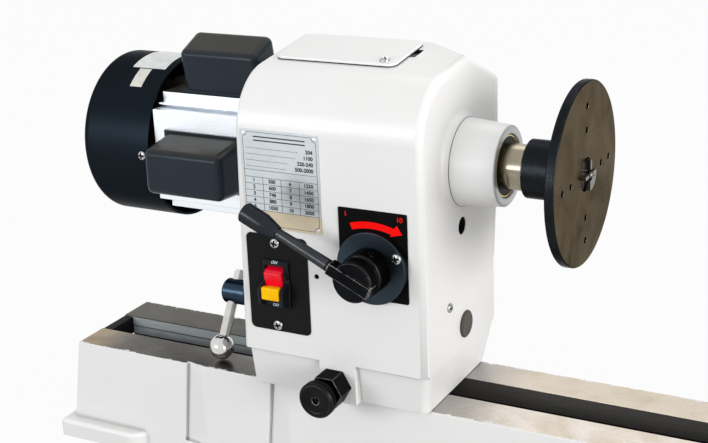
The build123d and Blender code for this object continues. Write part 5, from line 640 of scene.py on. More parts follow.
chrome = make_chrome()
collar_steel = turned_metal("turned_collar", (0.36, 0.318, 0.238, 1.0), (0.27, 0.238, 0.175, 1.0), 0.16,
                            0.30)
brass = turned_metal("turned_brass", (0.74, 0.56, 0.26, 1.0), (0.62, 0.46, 0.20, 1.0), 0.2, 0.35)
seal_and_shadow_rubber = painted("seal_and_shadow_rubber", (0.008, 0.008, 0.008, 1.0), (0.014, 0.013, 0.012, 1.0), 0.5, 600.0,
                      0.0001, 0.15)
black_steel = blackened("blackened_steel", (0.012, 0.012, 0.013, 1.0), (0.020, 0.019, 0.018, 1.0), 0.42,
                        900.0, 0.00006, 60.0, (0.0007, 0.55, (0.40, 0.40, 0.40, 1.0)))
fit_nodes(("spindle", 0.3, "spindle_group", "bright_steel", collar_steel),
          ("bearing_inner_rings", 0.2, "spindle_group", "bright_steel", bright_steel),
          ("bearing_outer_rings", 0.2, "headstock", "bright_steel", bright_steel),
          ("bearing_balls", 0.0, "headstock", "chrome", chrome),
          ("bearing_seals", 0.2, "headstock", "black_plastic", seal_and_shadow_rubber),
          ("spacer_ring", 0.1, "spindle_group", "brass", brass),
          ("spindle_nut", 0.3, "spindle_group", "black_steel", black_steel))


def turned_ring(name, near, far, inner, outer, steps=96):
    """A flat ring about the spindle line, between two places along it and two radii."""
    shape = bmesh.new()
    rows = []
    for x, radius in ((near, outer), (far, outer), (far, inner), (near, inner)):
        turns = [2 * pi * step / steps for step in range(steps)]
        points = [Vector((x, radius * cos(turn), radius * sin(turn))) + SPINDLE_LINE for turn in turns]
        rows.append([shape.verts.new(point) for point in points])
    for row, after in zip(rows, rows[1:] + rows[:1]):
        for step in range(steps):
            other = (step + 1) % steps
            shape.faces.new((row[step], row[other], after[other], after[step]))
    return closed_piece(name, shape, round_sides=True)


BEARING_FACE = BOSS_FACE - 2 * MM
# Thin rings on the bearing's face: bearing_gap_shadow is black as painted shadow of the gap round the
# outer ring, bearing_lip_glint takes the brass finish as painted reflection on the ring's edge, and the
# shield is the seal's own black.
for name, proud, inner, outer, slot, finish in (
        ("bearing_gap_shadow", 0.3, 25.2, 25.98, "black_plastic", seal_and_shadow_rubber),
        ("bearing_lip_glint", 0.5, 24.3, 25.18, "brass", brass),
        ("bearing_shield", 0.2, 15.8, 24.28, "black_plastic", seal_and_shadow_rubber)):
    ring = turned_ring(name, BEARING_FACE + 0.02 * MM, BEARING_FACE + proud * MM, inner * MM,
                       outer * MM)
    fit(ring, "headstock", slot, finish)


# Drive: two pairs of turned aluminium cones, one on the spindle and one on the motor's shaft, and
# an iron fork on a ground rod that pushes the spindle's pair together.
cone_aluminium = turned_metal("turned_aluminium", (0.74, 0.75, 0.76, 1.0), (0.62, 0.63, 0.64, 1.0),
                              0.22, 0.36)
belt_rubber = painted("belt_rubber", (0.014, 0.014, 0.014, 1.0), (0.024, 0.023, 0.022, 1.0), 0.65,
                      800.0, 0.0002, 0.2)
spring_steel = bare_metal("spring_wire", (0.16, 0.155, 0.15, 1.0), (0.10, 0.095, 0.09, 1.0), 0.25, 0.4,
                          (1.0, 1.0, 1.0))
fit_nodes(("spindle_fixed_sheave", 0.4, "spindle_group", "aluminium", cone_aluminium),
          ("spindle_moving_sheave", 0.4, "spindle_sheave", "aluminium", cone_aluminium),
          ("motor_fixed_sheave", 0.4, "rotor", "aluminium", cone_aluminium),
          ("motor_moving_sheave", 0.4, "motor_sheave", "aluminium", cone_aluminium),
          ("shift_fork", 0.4, "fork", "cast_iron", cast_iron),
          ("fork_guide_rod", 0.3, "headstock", "bright_steel", bright_steel))


# Belt and spring: in the machine the rubber gives way sideways as the motor's cones close, and the
# wire coil stretches after the moving cone from the end that sits on the shaft. Here the belt gets its
# own mesh and the coil is baked in place.
belt = fit(cad_copy("drive_belt", 0.4), "headstock", "belt_rubber", belt_rubber,
           stands_for="drive_belt")
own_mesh(belt)
spring = cad_copy("sheave_spring")
spring.data.materials.append(spring_steel)
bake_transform(spring)
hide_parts("sheave_spring")


# Motor: an extruded aluminium frame with stepped ledges between two cast bells, a shaft with a
# moulded fan, and two moulded capacitor boxes screwed onto flat pads. The bells are black, and the
# frame's top is painted black as painted shade.
FRAME_TOP = 320.5 * MM
extruded_aluminium = bare_metal("extruded_aluminium", (0.87, 0.905, 0.945, 1.0),
                                (0.77, 0.81, 0.86, 1.0), 0.30, 0.42, (1.0, 35.0, 35.0), 40.0, 0.00003)
bell_black = painted("bell_black", (0.008, 0.008, 0.0075, 1.0), (0.030, 0.027, 0.019, 1.0), 0.5, 500.0,
                     0.0001, 0.1, 60.0)
# The boxes' blue tint is painted reflection of a bluish light, and their brownish tops are dust and
# painted reflection of a warm light above.
box_plastic = painted("box_plastic", (0.014, 0.022, 0.032, 1.0), (0.020, 0.029, 0.040, 1.0), 0.24,
                      1100.0, 0.00005, 0.16, 9.0, None, (0.9, (0.030, 0.026, 0.016, 1.0)))
fan_plastic = painted("fan_plastic", (0.010, 0.010, 0.010, 1.0), (0.016, 0.015, 0.014, 1.0), 0.5, 500.0,
                      0.0001, 0.2)
fit_nodes(("motor_end_bells", 0.5, "headstock", "aluminium", bell_black),
          ("motor_rotor", 0.3, "rotor", "bright_steel", bright_steel),
          ("cooling_fan", 0.4, "rotor", "black_plastic", fan_plastic),
          ("capacitor_boxes", 0.0, "headstock", "black_plastic", box_plastic))
motor_frame = cad_copy("motor_frame", 0.5)
# The frame's top faces are painted black: painted shade of the dark gap there.
finish_faces(motor_frame, 1, lambda c, n: n.z > 0.8 and c.z > FRAME_TOP - 3 * MM)
fit(motor_frame, "headstock", "aluminium", extruded_aluminium, bell_black, stands_for="motor_frame")


# Fan cover: a deep-drawn steel cap, powder-coated black, with slots in its back and three screws in
# its rim. Two plain paper stickers lie round its top.
COVER_AXIS = Vector((0, 100 * MM, 263.5 * MM))
COVER_RADIUS = 79.7 * MM
# The enamel's blue tint is painted reflection of a bluish light.
cover_black = blackened("black_enamel", (0.0090, 0.0130, 0.0180, 1.0), (0.0115, 0.0155, 0.0205, 1.0),
                        0.38, 700.0, 0.00008, 14.0, (0.0005, 0.3, (0.10, 0.10, 0.10, 1.0)))
fit_nodes(("fan_cover", 0.5, "headstock", "black_paint", cover_black))


def sticker(name, left, right, low, high, steps=14):
    """A thin paper patch round the cover, between two places along it and two angles from the top
    to the front."""
    shape = bmesh.new()
    rows = []
    for lift in (0.03 * MM, 0.16 * MM):
        radius = COVER_RADIUS + lift
        for step in range(steps + 1):
            turn = radians(low + (high - low) * step / steps)
            around = COVER_AXIS + Vector((0, -sin(turn), cos(turn))) * radius
            rows.append([shape.verts.new((x, around.y, around.z)) for x in (left, right)])
    under, over = rows[:steps + 1], rows[steps + 1:]
    for step in range(steps):
        shape.faces.new((over[step][0], over[step + 1][0], over[step + 1][1], over[step][1]))
        shape.faces.new((under[step][1], under[step + 1][1], under[step + 1][0], under[step][0]))
        for side in (0, 1):
            shape.faces.new((under[step][side], under[step + 1][side], over[step + 1][side],
                             over[step][side]))
    for step in (0, steps):
        shape.faces.new((under[step][0], under[step][1], over[step][1], over[step][0]))
    return closed_piece(name, shape, round_sides=True)


paper = painted("sticker_paper", (0.76, 0.775, 0.77, 1.0), (0.60, 0.62, 0.63, 1.0), 0.42, 260.0,
                0.00006, 0.5, 130.0)
cream_paper = painted("cream_sticker_paper", (0.74, 0.73, 0.67, 1.0), (0.62, 0.60, 0.53, 1.0), 0.45,
                      260.0, 0.00006, 0.5, 160.0)
for name, left, right, low, high, finish in (
        ("fan_cover_sticker", -550, -512, -14, 24, paper),
        ("fan_cover_tag", -540, -526.5, 25, 42, cream_paper)):
    fit(sticker(name, left * MM, right * MM, low, high), "headstock", "plate_aluminium", finish)


# Faceplate and drive spur: a cast and turned steel disc with two rings of screw holes,
# oil-blackened but for its faced front, and a hardened spur centre with four prongs pressed into
# the spindle's taper.
FACEPLATE_FRONT = -67 * MM
plate_black = blackened("oil_blackened_plate", (0.0115, 0.0135, 0.0160, 1.0),
                        (0.0155, 0.0175, 0.0200, 1.0), 0.27, 1500.0, 0.00016, 70.0,
                        (0.0010, 0.9, (0.55, 0.52, 0.46, 1.0)))
# The faced front's dark brown is painted reflection of dark brown surroundings.
plate_front = turned_metal("faced_plate_front", (0.185, 0.146, 0.092, 1.0), (0.054, 0.041, 0.019, 1.0),
                           0.26, 0.36, 0.00001, 700.0, 0.85, 0.45)
# The spur's dark tone is painted shade of the hole in which it sits.
spur_steel = bare_metal("spur_steel", (0.24, 0.23, 0.21, 1.0), (0.09, 0.086, 0.080, 1.0), 0.14, 0.3,
                        (1.0, 1.0, 1.0), 200.0)
faceplate = cad_copy("faceplate", 0.5)
finish_faces(faceplate, 1, lambda c, n: n.x > 0.9 and c.x > FACEPLATE_FRONT - 0.2 * MM)
fit(faceplate, "spindle_group", "black_steel", plate_black, plate_front, stands_for="faceplate")
fit_nodes(("drive_spur", 0.2, "spindle_group", "bright_steel", spur_steel))


# Rating plate: thin brushed aluminium with a champagne band along its foot, printed in black with a
# ruled table of speeds and fixed with a domed rivet in each corner.
HEAD = Vector((-262 * MM, 0, 95 * MM))
PLATE_FACE = -70.8 * MM
PRINT_LIFT = 0.04 * MM
BORDER_LOW, BORDER_HIGH, BORDER_NOTCH = 152.3, 232.3, 4.2
RULE_LEFT, RULE_RIGHT = -76.6, -7.4
TABLE_TOP, HEADER_LOW, TABLE_LOW = 200.0, 193.8, 165.2
BAR_LEFT, BAR_RIGHT, BAR_WIDTH = -66, -18, 1.1
LEADER_LEFT, LEADER_STEP = -74, 2.0
FIGURE_RIGHT, FIGURE_HEIGHT = -10.8, 3.2
BAND_TOP = HEAD.z + 165 * MM
SPEEDS = (("500", "1250"), ("600", "1450"), ("740", "1650"), ("880", "1800"), ("1050", "2000"))


def make_plate_metal():
    """Brushed plate: cool silver above, champagne in the band at its foot."""
    made, tree, shader = new_finish("brushed_plate")
    marks = effect(tree, tool_marks, Stretch=(2.0, 1.0, 60.0), Scale=60.0)
    cloud = effect(tree, stain, Scale=26.0, Bare=0.40, Full=0.75)
    share = mean(tree, marks, cloud)
    silver = blend(tree, share, (0.61, 0.645, 0.66, 1.0), (0.43, 0.47, 0.50, 1.0))
    champagne = blend(tree, share, (0.60, 0.53, 0.40, 1.0), (0.47, 0.40, 0.28, 1.0))
    band = spread(tree, own_axes(tree)["Z"], BAND_TOP - 0.1 * MM, BAND_TOP + 0.1 * MM, 1.0, 0.0)
    roughness = spread(tree, share, 0.0, 1.0, 0.28, 0.42)
    dress(tree, shader, blend(tree, band, silver, champagne), roughness, marks, 0.00002)
    shader.inputs["Metallic"].default_value = 0.9
    return made


def flat_mesh(name, outlines, face_y, thick=0.05):
    """Flat shapes on the front of the head, each an outline of x and z in millimetres, as one thin
    mesh."""
    shape = bmesh.new()
    for outline in outlines:
        ring = [shape.verts.new((HEAD.x + x * MM, face_y, HEAD.z + z * MM)) for x, z in outline]
        shape.faces.new(ring)
    bmesh.ops.recalc_face_normals(shape, faces=shape.faces)
    for face in shape.faces:
        if face.normal.y > 0:
            face.normal_flip()
    top = bmesh.ops.extrude_face_region(shape, geom=shape.faces[:])["geom"]
    for item in top:
        if isinstance(item, bmesh.types.BMVert):
            item.co.y -= thick * MM
    return closed_piece(name, shape)


def rule(x0, z0, x1, z1, width=0.35):
    """The outline of a straight printed line."""
    along = Vector((x1 - x0, z1 - z0)).normalized() * width / 2
    side = Vector((-along.y, along.x))
    ends = (Vector((x0, z0)) - along, Vector((x1, z1)) + along)
    return [tuple(ends[0] - side), tuple(ends[1] - side), tuple(ends[1] + side), tuple(ends[0] + side)]


def lettering(name, words, face_y, tilt=0, weight=0.02, thick=0.05):
    """Printed figures on the front of the head, each given by its text, x, z and height in
    millimetres and how it lines up."""
    pieces = []
    for text, x, z, height, align in words:
        curve = bpy.data.curves.new(name, "FONT")
        curve.body = text
        curve.size = height * 1.40
        curve.align_x = align
        curve.align_y = "CENTER"
        curve.offset = weight * height
        curve.extrude = thick / 2
        curve.resolution_u = 4
        made = add(name, curve)
        graph = bpy.context.evaluated_depsgraph_get()
        mesh = bpy.data.meshes.new_from_object(made.evaluated_get(graph), depsgraph=graph)
        bpy.data.objects.remove(made)
        upright = Matrix.Rotation(radians(90 - tilt), 4, "X") @ Matrix.Scale(MM, 4)
        spot = (HEAD.x + x * MM, face_y - thick * MM / 2, HEAD.z + z * MM)
        mesh.transform(Matrix.Translation(spot) @ upright)
        pieces.append(mesh)
    return pieces


def join(name, meshes):
    """One piece made of several meshes."""
    shape = bmesh.new()
    for mesh in meshes:
        shape.from_mesh(mesh)
    bmesh.ops.remove_doubles(shape, verts=shape.verts, dist=1e-7)
    mesh = bpy.data.meshes.new(name)
    shape.to_mesh(mesh)
    shape.free()
    return add(name, mesh)


plate_metal = make_plate_metal()
black_ink = painted("black_ink", (0.014, 0.014, 0.016, 1.0), (0.030, 0.030, 0.032, 1.0), 0.45, 900.0,
                    0.00003, 0.4, 300.0)
rating_plate = cad_copy("rating_plate", 0.15, keep=lambda c: c.y > PLATE_FACE - 0.005 * MM)
fit(rating_plate, "headstock", "plate_aluminium", plate_metal, stands_for="rating_plate")

lines = [rule(x, BORDER_LOW + BORDER_NOTCH, x, BORDER_HIGH - BORDER_NOTCH)
         for x in (RULE_LEFT, RULE_RIGHT)]
lines += [rule(RULE_LEFT + BORDER_NOTCH, z, RULE_RIGHT - BORDER_NOTCH, z)
          for z in (BORDER_LOW, BORDER_HIGH)]
for x, z, across, up in ((RULE_LEFT, BORDER_LOW, 1, 1), (RULE_RIGHT, BORDER_LOW, -1, 1),
                         (RULE_LEFT, BORDER_HIGH, 1, -1), (RULE_RIGHT, BORDER_HIGH, -1, -1)):
    corner = [(x + across * BORDER_NOTCH * cos(turn), z + up * BORDER_NOTCH * sin(turn))
              for turn in (0, pi / 6, pi / 3, pi / 2)]
    lines += [rule(*first, *second, 0.3) for first, second in zip(corner, corner[1:])]
rows = [HEADER_LOW + (TABLE_LOW - HEADER_LOW) * step / 5 for step in range(6)]
columns = [RULE_LEFT + (RULE_RIGHT - RULE_LEFT) * step / 4 for step in range(5)]
lines += [rule(RULE_LEFT, z, RULE_RIGHT, z) for z in [TABLE_TOP] + rows]
lines += [rule(x, HEADER_LOW, x, TABLE_LOW) for x in columns[1:4]]
lines += [rule(BAR_LEFT, z, BAR_RIGHT, z, BAR_WIDTH) for z in (228.6, 225.4)]
figures = []
for text, z in (("204", 219.6), ("1100", 214.4), ("220-240", 209.2), ("500-2000", 204.0)):
    leader = -15.0 - 2.5 * len(text) - LEADER_LEFT
    dots = [LEADER_LEFT + LEADER_STEP * step for step in range(int(leader / LEADER_STEP))]
    lines += [rule(x, z - 0.9, x + 0.6, z - 0.9, 0.5) for x in dots]
    figures.append((text, FIGURE_RIGHT, z, FIGURE_HEIGHT, "RIGHT"))
for row, (slow, fast) in enumerate(SPEEDS):
    middle = (rows[row] + rows[row + 1]) / 2
    for column, text in enumerate((str(row + 1), slow, str(row + 6), fast)):
        across = (columns[column] + columns[column + 1]) / 2
        figures.append((text, across, middle, FIGURE_HEIGHT, "CENTER"))
rules = flat_mesh("rating_rules", lines, PLATE_FACE - PRINT_LIFT)
fit(rules, "headstock", "black_paint", black_ink)
rating_figures = lettering("rating_figures", figures, PLATE_FACE - PRINT_LIFT, 0, 0.055)
fit(join("rating_figures", rating_figures), "headstock", "black_paint", black_ink)


def make_screw_tree():
    """Domed heads on given points, each turned to its point's facing and spun by chance, with or
    without a cross."""
    tree = bpy.data.node_groups.new("domed_heads", "GeometryNodeTree")
    tree.interface.new_socket("Geometry", in_out="OUTPUT", socket_type="NodeSocketGeometry")
    tree.interface.new_socket("Geometry", in_out="INPUT", socket_type="NodeSocketGeometry")
    for label, kind in (("Head Radius", "NodeSocketFloat"), ("Head Height", "NodeSocketFloat"),
                        ("Cross", "NodeSocketBool"), ("Finish", "NodeSocketMaterial"),
                        ("Recess Shade Finish", "NodeSocketMaterial")):
        tree.interface.new_socket(label, in_out="INPUT", socket_type=kind)
    given = tree.nodes.new("NodeGroupInput").outputs
    inputs = {"Segments": 64, "Rings": 32, "Radius": 1.0}
    ball = put(tree, "GeometryNodeMeshUVSphere", inputs).outputs["Mesh"]
    place = put(tree, "GeometryNodeInputPosition").outputs[0]
    spot = put(tree, "ShaderNodeSeparateXYZ", {0: place}).outputs
    across, along = maths(tree, "ABSOLUTE", spot["X"]), maths(tree, "ABSOLUTE", spot["Y"])
    narrow = maths(tree, "LESS_THAN", maths(tree, "MINIMUM", across, along), 0.17)
    short = maths(tree, "LESS_THAN", maths(tree, "MAXIMUM", across, along), 0.64)
    upper = maths(tree, "MULTIPLY", maths(tree, "GREATER_THAN", spot["Z"], 0.0), given["Cross"])
    sunk = maths(tree, "MULTIPLY", maths(tree, "MULTIPLY", narrow, short), upper)
    inputs = {"Geometry": ball, "Name": "recess", "Value": sunk}
    stored = put(tree, "GeometryNodeStoreNamedAttribute", inputs, data_type="BOOLEAN", domain="FACE")
    crown = maths(tree, "POWER", maths(tree, "MAXIMUM", spot["Z"], 0.0), 0.62)
    crown = maths(tree, "MULTIPLY", crown, spread(tree, sunk, 0.0, 1.0, 1.0, 0.42))
    radius = given["Head Radius"]
    inputs = {"X": maths(tree, "MULTIPLY", spot["X"], radius),
              "Y": maths(tree, "MULTIPLY", spot["Y"], radius),
              "Z": maths(tree, "MULTIPLY", crown, given["Head Height"])}
    raised = put(tree, "ShaderNodeCombineXYZ", inputs).outputs[0]
    inputs = {"Geometry": stored.outputs[0], "Position": raised}
    head = put(tree, "GeometryNodeSetPosition", inputs).outputs[0]
    facing = put(tree, "GeometryNodeInputNamedAttribute", {"Name": "facing"}, data_type="FLOAT_VECTOR")
    inputs = {"Vector": facing.outputs[0]}
    aim = put(tree, "FunctionNodeAlignRotationToVector", inputs, axis="Z").outputs[0]
    inputs = {"Min": 0.0, "Max": 3.14, "Seed": 7}
    chance = put(tree, "FunctionNodeRandomValue", inputs, data_type="FLOAT").outputs[1]
    inputs = {"Axis": (0.0, 0.0, 1.0), "Angle": chance}
    spin = put(tree, "FunctionNodeAxisAngleToRotation", inputs).outputs[0]
    inputs = {"Rotation": aim, "Rotate By": spin}
    turn = put(tree, "FunctionNodeRotateRotation", inputs, rotation_space="LOCAL")
    inputs = {"Points": given["Geometry"], "Instance": head, "Rotation": turn.outputs[0]}
    placed = put(tree, "GeometryNodeInstanceOnPoints", inputs)
    real = put(tree, "GeometryNodeRealizeInstances", {0: placed.outputs[0]})
    inputs = {"Geometry": real.outputs[0], "Material": given["Finish"]}
    finish = put(tree, "GeometryNodeSetMaterial", inputs)
    sunk = put(tree, "GeometryNodeInputNamedAttribute", {"Name": "recess"}, data_type="BOOLEAN")
    inputs = {"Geometry": finish.outputs[0], "Selection": sunk.outputs[0],
              "Material": given["Recess Shade Finish"]}
    dark = put(tree, "GeometryNodeSetMaterial", inputs)
    tree.links.new(dark.outputs[0], tree.nodes.new("NodeGroupOutput").inputs[0])
    return tree


domed_heads = make_screw_tree()


def heads(name, places, radius, height, cross, finish):
    """Screw or rivet heads at places given as a point and a facing, in millimetres, as one plain
    mesh."""
    mesh = bpy.data.meshes.new(name)
    mesh.from_pydata([Vector(point) * MM for point, facing in places], [], [])
    way = mesh.attributes.new("facing", "FLOAT_VECTOR", "POINT")
    for row, (point, facing) in zip(way.data, places):
        row.vector = facing
    piece = add(name, mesh)
    nodes = piece.modifiers.new("heads", "NODES")
    nodes.node_group = domed_heads
    values = {"Head Radius": radius * MM, "Head Height": height * MM, "Cross": cross,
              "Finish": finish, "Recess Shade Finish": shade_black}
    for item in domed_heads.interface.items_tree:
        if item.in_out == "INPUT" and item.name in values:
            nodes[item.identifier] = values[item.name]
    settle(piece)
    # The faces of each cross recess take the flat black of painted shade.
    sunk = [int(face.value) for face in piece.data.attributes["recess"].data]
    piece.data.materials.clear()
    piece.data.materials.append(finish)
    piece.data.materials.append(shade_black)
    piece.data.polygons.foreach_set("material_index", sunk)
    piece.data.shade_smooth()
    piece.data.set_sharp_from_angle(angle=radians(50))
    return piece


rivet_metal = bare_metal("rivet_aluminium", (0.70, 0.71, 0.71, 1.0), (0.55, 0.55, 0.55, 1.0), 0.2, 0.35,
                         (1.0, 1.0, 1.0))
to_front = (0, -1, 0)
rivets = [((x, -70.8, z), to_front) for x in (-337.2, -270.8) for z in (248.7, 325.9)]
rivet_heads = heads("plate_rivets", rivets, 1.6, 1.0, False, rivet_metal)
fit(rivet_heads, "headstock", "plate_aluminium", rivet_metal)


# Speed dial: a thin aluminium plate printed black with a red arrow and red figures, stuck to the
# casting under a turned flange that a screw holds.
DIAL_X, ARROW_Z = 40.2, 102.4
ARROW_OUTER, ARROW_INNER = 65.2, 59.4
dial_black = painted("dial_print", (0.0015, 0.0015, 0.0016, 1.0), (0.003, 0.003, 0.003, 1.0), 0.42,
                     600.0, 0.00004, 0.04)
red_ink = painted("red_ink", (0.98, 0.002, 0.002, 1.0), (0.90, 0.010, 0.008, 1.0), 0.45, 600.0, 0.00003,
                  0.06, 60.0)
# The flange's blue-grey tint is painted reflection of a bluish light.
flange_satin = blackened("satin_flange", (0.036, 0.050, 0.065, 1.0), (0.020, 0.026, 0.033, 1.0), 0.38,
                         1200.0, 0.00006, 30.0, (0.0008, 0.6, (0.24, 0.25, 0.26, 1.0)))
fit_nodes(("speed_dial_plate", 0.15, "headstock", "black_paint", dial_black),
          ("dial_flange", 0.6, "headstock", "black_plastic", flange_satin))


def arc_point(radius, across):
    """A point of the arrow's arc, by its radius and its x."""
    return across, ARROW_Z + sqrt(radius ** 2 - (across - DIAL_X) ** 2)


outer = [arc_point(ARROW_OUTER, 20.9 + step * (60.6 - 20.9) / 12) for step in range(13)]
inner = [arc_point(ARROW_INNER, 57.9 - step * (57.9 - 22.8) / 12) for step in range(13)]
arrow = outer + [(63.2, 167.3), (67.8, 160.0), (56.8, 157.2)] + inner
fit(flat_mesh("speed_arrow", [arrow], PLATE_FACE - PRINT_LIFT), "headstock", "red_plastic", red_ink)
dial_figures = [("1", 17.2, 172.0, 4.2, "CENTER"), ("10", 65.6, 172.0, 4.2, "CENTER")]
dial_figures = lettering("dial_figures", dial_figures, PLATE_FACE - PRINT_LIFT)
fit(join("dial_figures", dial_figures), "headstock", "red_plastic", red_ink)


# Speed lever: a turned black knob with a slot, a steel rod forged square where it lies in the slot
# and held by a set screw, and a moulded grip pressed onto the rod's end.
KNOB_MIDDLE = Vector((-220.8, -86.3, 224.4)) * MM
SHANK_REACH = 34 * MM
SET_SCREW_UP = Vector((sin(radians(22)), 0, cos(radians(22))))
SET_SCREW_REACH = 15.8 * MM
# The knob's bright edges are partly wear and partly painted highlight.
knob_black = blackened("black_knob", (0.0055, 0.0060, 0.0070, 1.0), (0.0105, 0.0110, 0.0120, 1.0), 0.40,
                       1600.0, 0.00010, 60.0, (0.0010, 1.0, (0.60, 0.60, 0.60, 1.0)))
rod_black = blackened("black_rod", (0.044, 0.047, 0.051, 1.0), (0.060, 0.063, 0.068, 1.0), 0.30, 900.0,
                      0.00004, 40.0, (0.0006, 0.4, (0.30, 0.30, 0.30, 1.0)))
grip_black = blackened("grip_black", (0.026, 0.030, 0.035, 1.0), (0.034, 0.038, 0.044, 1.0), 0.28,
                       500.0, 0.00003, 30.0, (0.0006, 0.35, (0.16, 0.16, 0.16, 1.0)))
fit_nodes(("speed_knob", 0.3, "speed_lever", "black_plastic", knob_black),
          ("speed_lever_grip", 0.4, "speed_lever", "black_plastic", grip_black))
lever_rod = cad_copy("speed_lever_rod", 0.3)
finish_faces(lever_rod, 1, lambda c, n: (c - KNOB_MIDDLE).xz.length < SHANK_REACH)
fit(lever_rod, "speed_lever", "black_steel", rod_black, knob_black, stands_for="speed_lever_rod")
set_screw_place = (KNOB_MIDDLE + SET_SCREW_UP * SET_SCREW_REACH) / MM
set_screw = heads("knob_set_screw", [(set_screw_place, SET_SCREW_UP)], 1.7, 1.0, True, rivet_metal)
fit(set_screw, "speed_lever", "black_steel", rivet_metal)


# Switch: a pressed black plate, a moulded housing with raised cheeks, a red rocker and a yellow key
# that must be in place before the rocker holds.
SWITCH_X = -51.2
BEZEL_FACE = -75.3 * MM
ON_FACE = BEZEL_FACE + 1.5 * MM
plate_coat = painted("switch_plate_coat", (0.0055, 0.0056, 0.006, 1.0), (0.0085, 0.0085, 0.0085, 1.0),
                     0.44, 900.0, 0.00008, 0.08)
bezel_plastic = painted("bezel_plastic", (0.005, 0.006, 0.008, 1.0), (0.009, 0.010, 0.012, 1.0), 0.34,
                        700.0, 0.00005, 0.15)
red_plastic = painted("red_rocker_plastic", (0.95, 0.001, 0.028, 1.0), (0.84, 0.001, 0.016, 1.0), 0.20,
                      400.0, 0.00004, 0.3)
yellow_plastic = painted("yellow_key_plastic", (1.0, 0.62, 0.001, 1.0), (1.0, 0.42, 0.001, 1.0), 0.30,
                         400.0, 0.00004, 0.12, 60.0)
pale_ink = painted("pale_ink", (0.62, 0.74, 0.80, 1.0), (0.50, 0.62, 0.70, 1.0), 0.5, 700.0, 0.00003,
                   0.4, 300.0)
fit_nodes(("switch_plate", 0.2, "headstock", "black_paint", plate_coat),
          ("switch_housing", 0.9, "headstock", "black_plastic", bezel_plastic),
          ("switch_rocker", 0.5, "rocker", "red_plastic", red_plastic),
          ("safety_key", 0.7, "key", "yellow_plastic", yellow_plastic))
on_word = [("ON", SWITCH_X, 121.03, 2.7, "CENTER")]
off_word = [("OFF", SWITCH_X + 0.4, 83.3, 2.5, "CENTER")]
switch_words = lettering("switch_words", on_word, ON_FACE - PRINT_LIFT, 45, 0.03)
switch_words += lettering("switch_words", off_word, BEZEL_FACE - PRINT_LIFT, 0, 0.03)
fit(join("switch_words", switch_words), "headstock", "plate_aluminium", pale_ink)


# Screws: zinc-plated pan heads with a cross recess hold the lid, plates, rear housing and fan
# cover; four socket screws hold the motor's flange from inside.
FLANGE_SCREW_FRONT, FLANGE_SCREW_TOP = 72 * MM, 330 * MM
FLANGE_SCREW_LEFT, FLANGE_SCREW_RIGHT = -400 * MM, -335 * MM
zinc = bare_metal("zinc_plate", (0.50, 0.505, 0.50, 1.0), (0.36, 0.36, 0.35, 1.0), 0.16, 0.30,
                  (1.0, 1.0, 1.0), 90.0)
to_rear, to_right = (0, 1, 0), (1, 0, 0)
screws = [((-236, -9.5, 380.45), LID_UP), ((-313.4, -70.82, 232.2), to_front),
          ((-314.4, -70.82, 158.1), to_front), ((-197.1, -76.52, 236.4), to_front),
          ((-175.48, -24, 178), to_right), ((-337.5, 86.4, 343), to_rear),
          ((-184.5, 86.4, 343), to_rear), ((-184.5, 80.95, 265), to_rear),
          ((-184.5, 73.65, 198), to_rear)]
for turn in (90, 210, 330):
    out = Vector((0, -sin(radians(turn)), cos(radians(turn))))
    screws.append(((COVER_AXIS + out * COVER_RADIUS) / MM + Vector((-512.4, 0, 0)), out))
pan_heads = heads("pan_heads", screws, 4.4, 2.4, True, zinc)
fit(pan_heads, "headstock", "bright_steel", zinc, stands_for="pan_head_screws")
flange_bolts = cad_copy("pan_head_screws", 0.3, keep=lambda c: c.y > FLANGE_SCREW_FRONT
                        and c.z < FLANGE_SCREW_TOP and FLANGE_SCREW_LEFT < c.x < FLANGE_SCREW_RIGHT)
flange_bolts.name = "motor_flange_bolts"
fit(flange_bolts, "headstock", "black_steel", black_steel)


# Index plunger: a blackened hexagon body screwed into the base, and a turned knob on the spring pin
# that it guides into the notches of the swivel base.
plunger_black = blackened("plunger_black", (0.0120, 0.0118, 0.0118, 1.0), (0.0190, 0.0180, 0.0175, 1.0),
                          0.34, 1400.0, 0.00009, 60.0, (0.0012, 1.0, (0.60, 0.60, 0.60, 1.0)))
fit_nodes(("plunger_body", 0.5, "headstock", "black_steel", plunger_black),
          ("index_pin", 0.4, "plunger", "black_steel", plunger_black))


# Headstock clamp: a blackened cam shaft through the base that lifts the clamp plate, turned by a
# chromed steel lever with a ball on its end.
# The hub's blue tint is painted reflection of a bluish light.
hub_black = blackened("cam_hub_black", (0.034, 0.056, 0.086, 1.0), (0.020, 0.033, 0.050, 1.0), 0.26,
                      900.0, 0.00005, 40.0, (0.0006, 0.5, (0.30, 0.31, 0.32, 1.0)))
fit_nodes(("clamp_cam_shaft", 0.6, "headstock_clamp", "black_steel", hub_black),
          ("clamp_lever", 0.0, "headstock_clamp", "chrome", chrome))


# Tool rest: an iron banjo, painted white, on a guide and bolt in the bed's gap, and a rest with a
# ground edge on a post. A chromed ball lever clamps the banjo, a tommy-bar screw the post.
REST_EDGE = 293.5 * MM
POST_TOP = 250 * MM
fit_nodes(("banjo_guide", 0.5, "rest_slide", "cast_iron", cast_iron),
          ("banjo_bolt", 0.3, "rest_swivel", "bright_steel", bright_steel),
          ("banjo", 1.0, "rest_arm", "white_paint", white_paint),
          ("banjo_lever", 0.0, "rest_clamp", "chrome", chrome),
          ("rest_lock", 0.3, "rest_post_lock", "chrome", chrome))
tool_rest = cad_copy("tool_rest", 0.8)
finish_faces(tool_rest, 1, lambda c, n: c.z > REST_EDGE or c.z < POST_TOP)
fit(tool_rest, "rest", "white_paint", white_paint, bright_steel, stands_for="tool_rest")


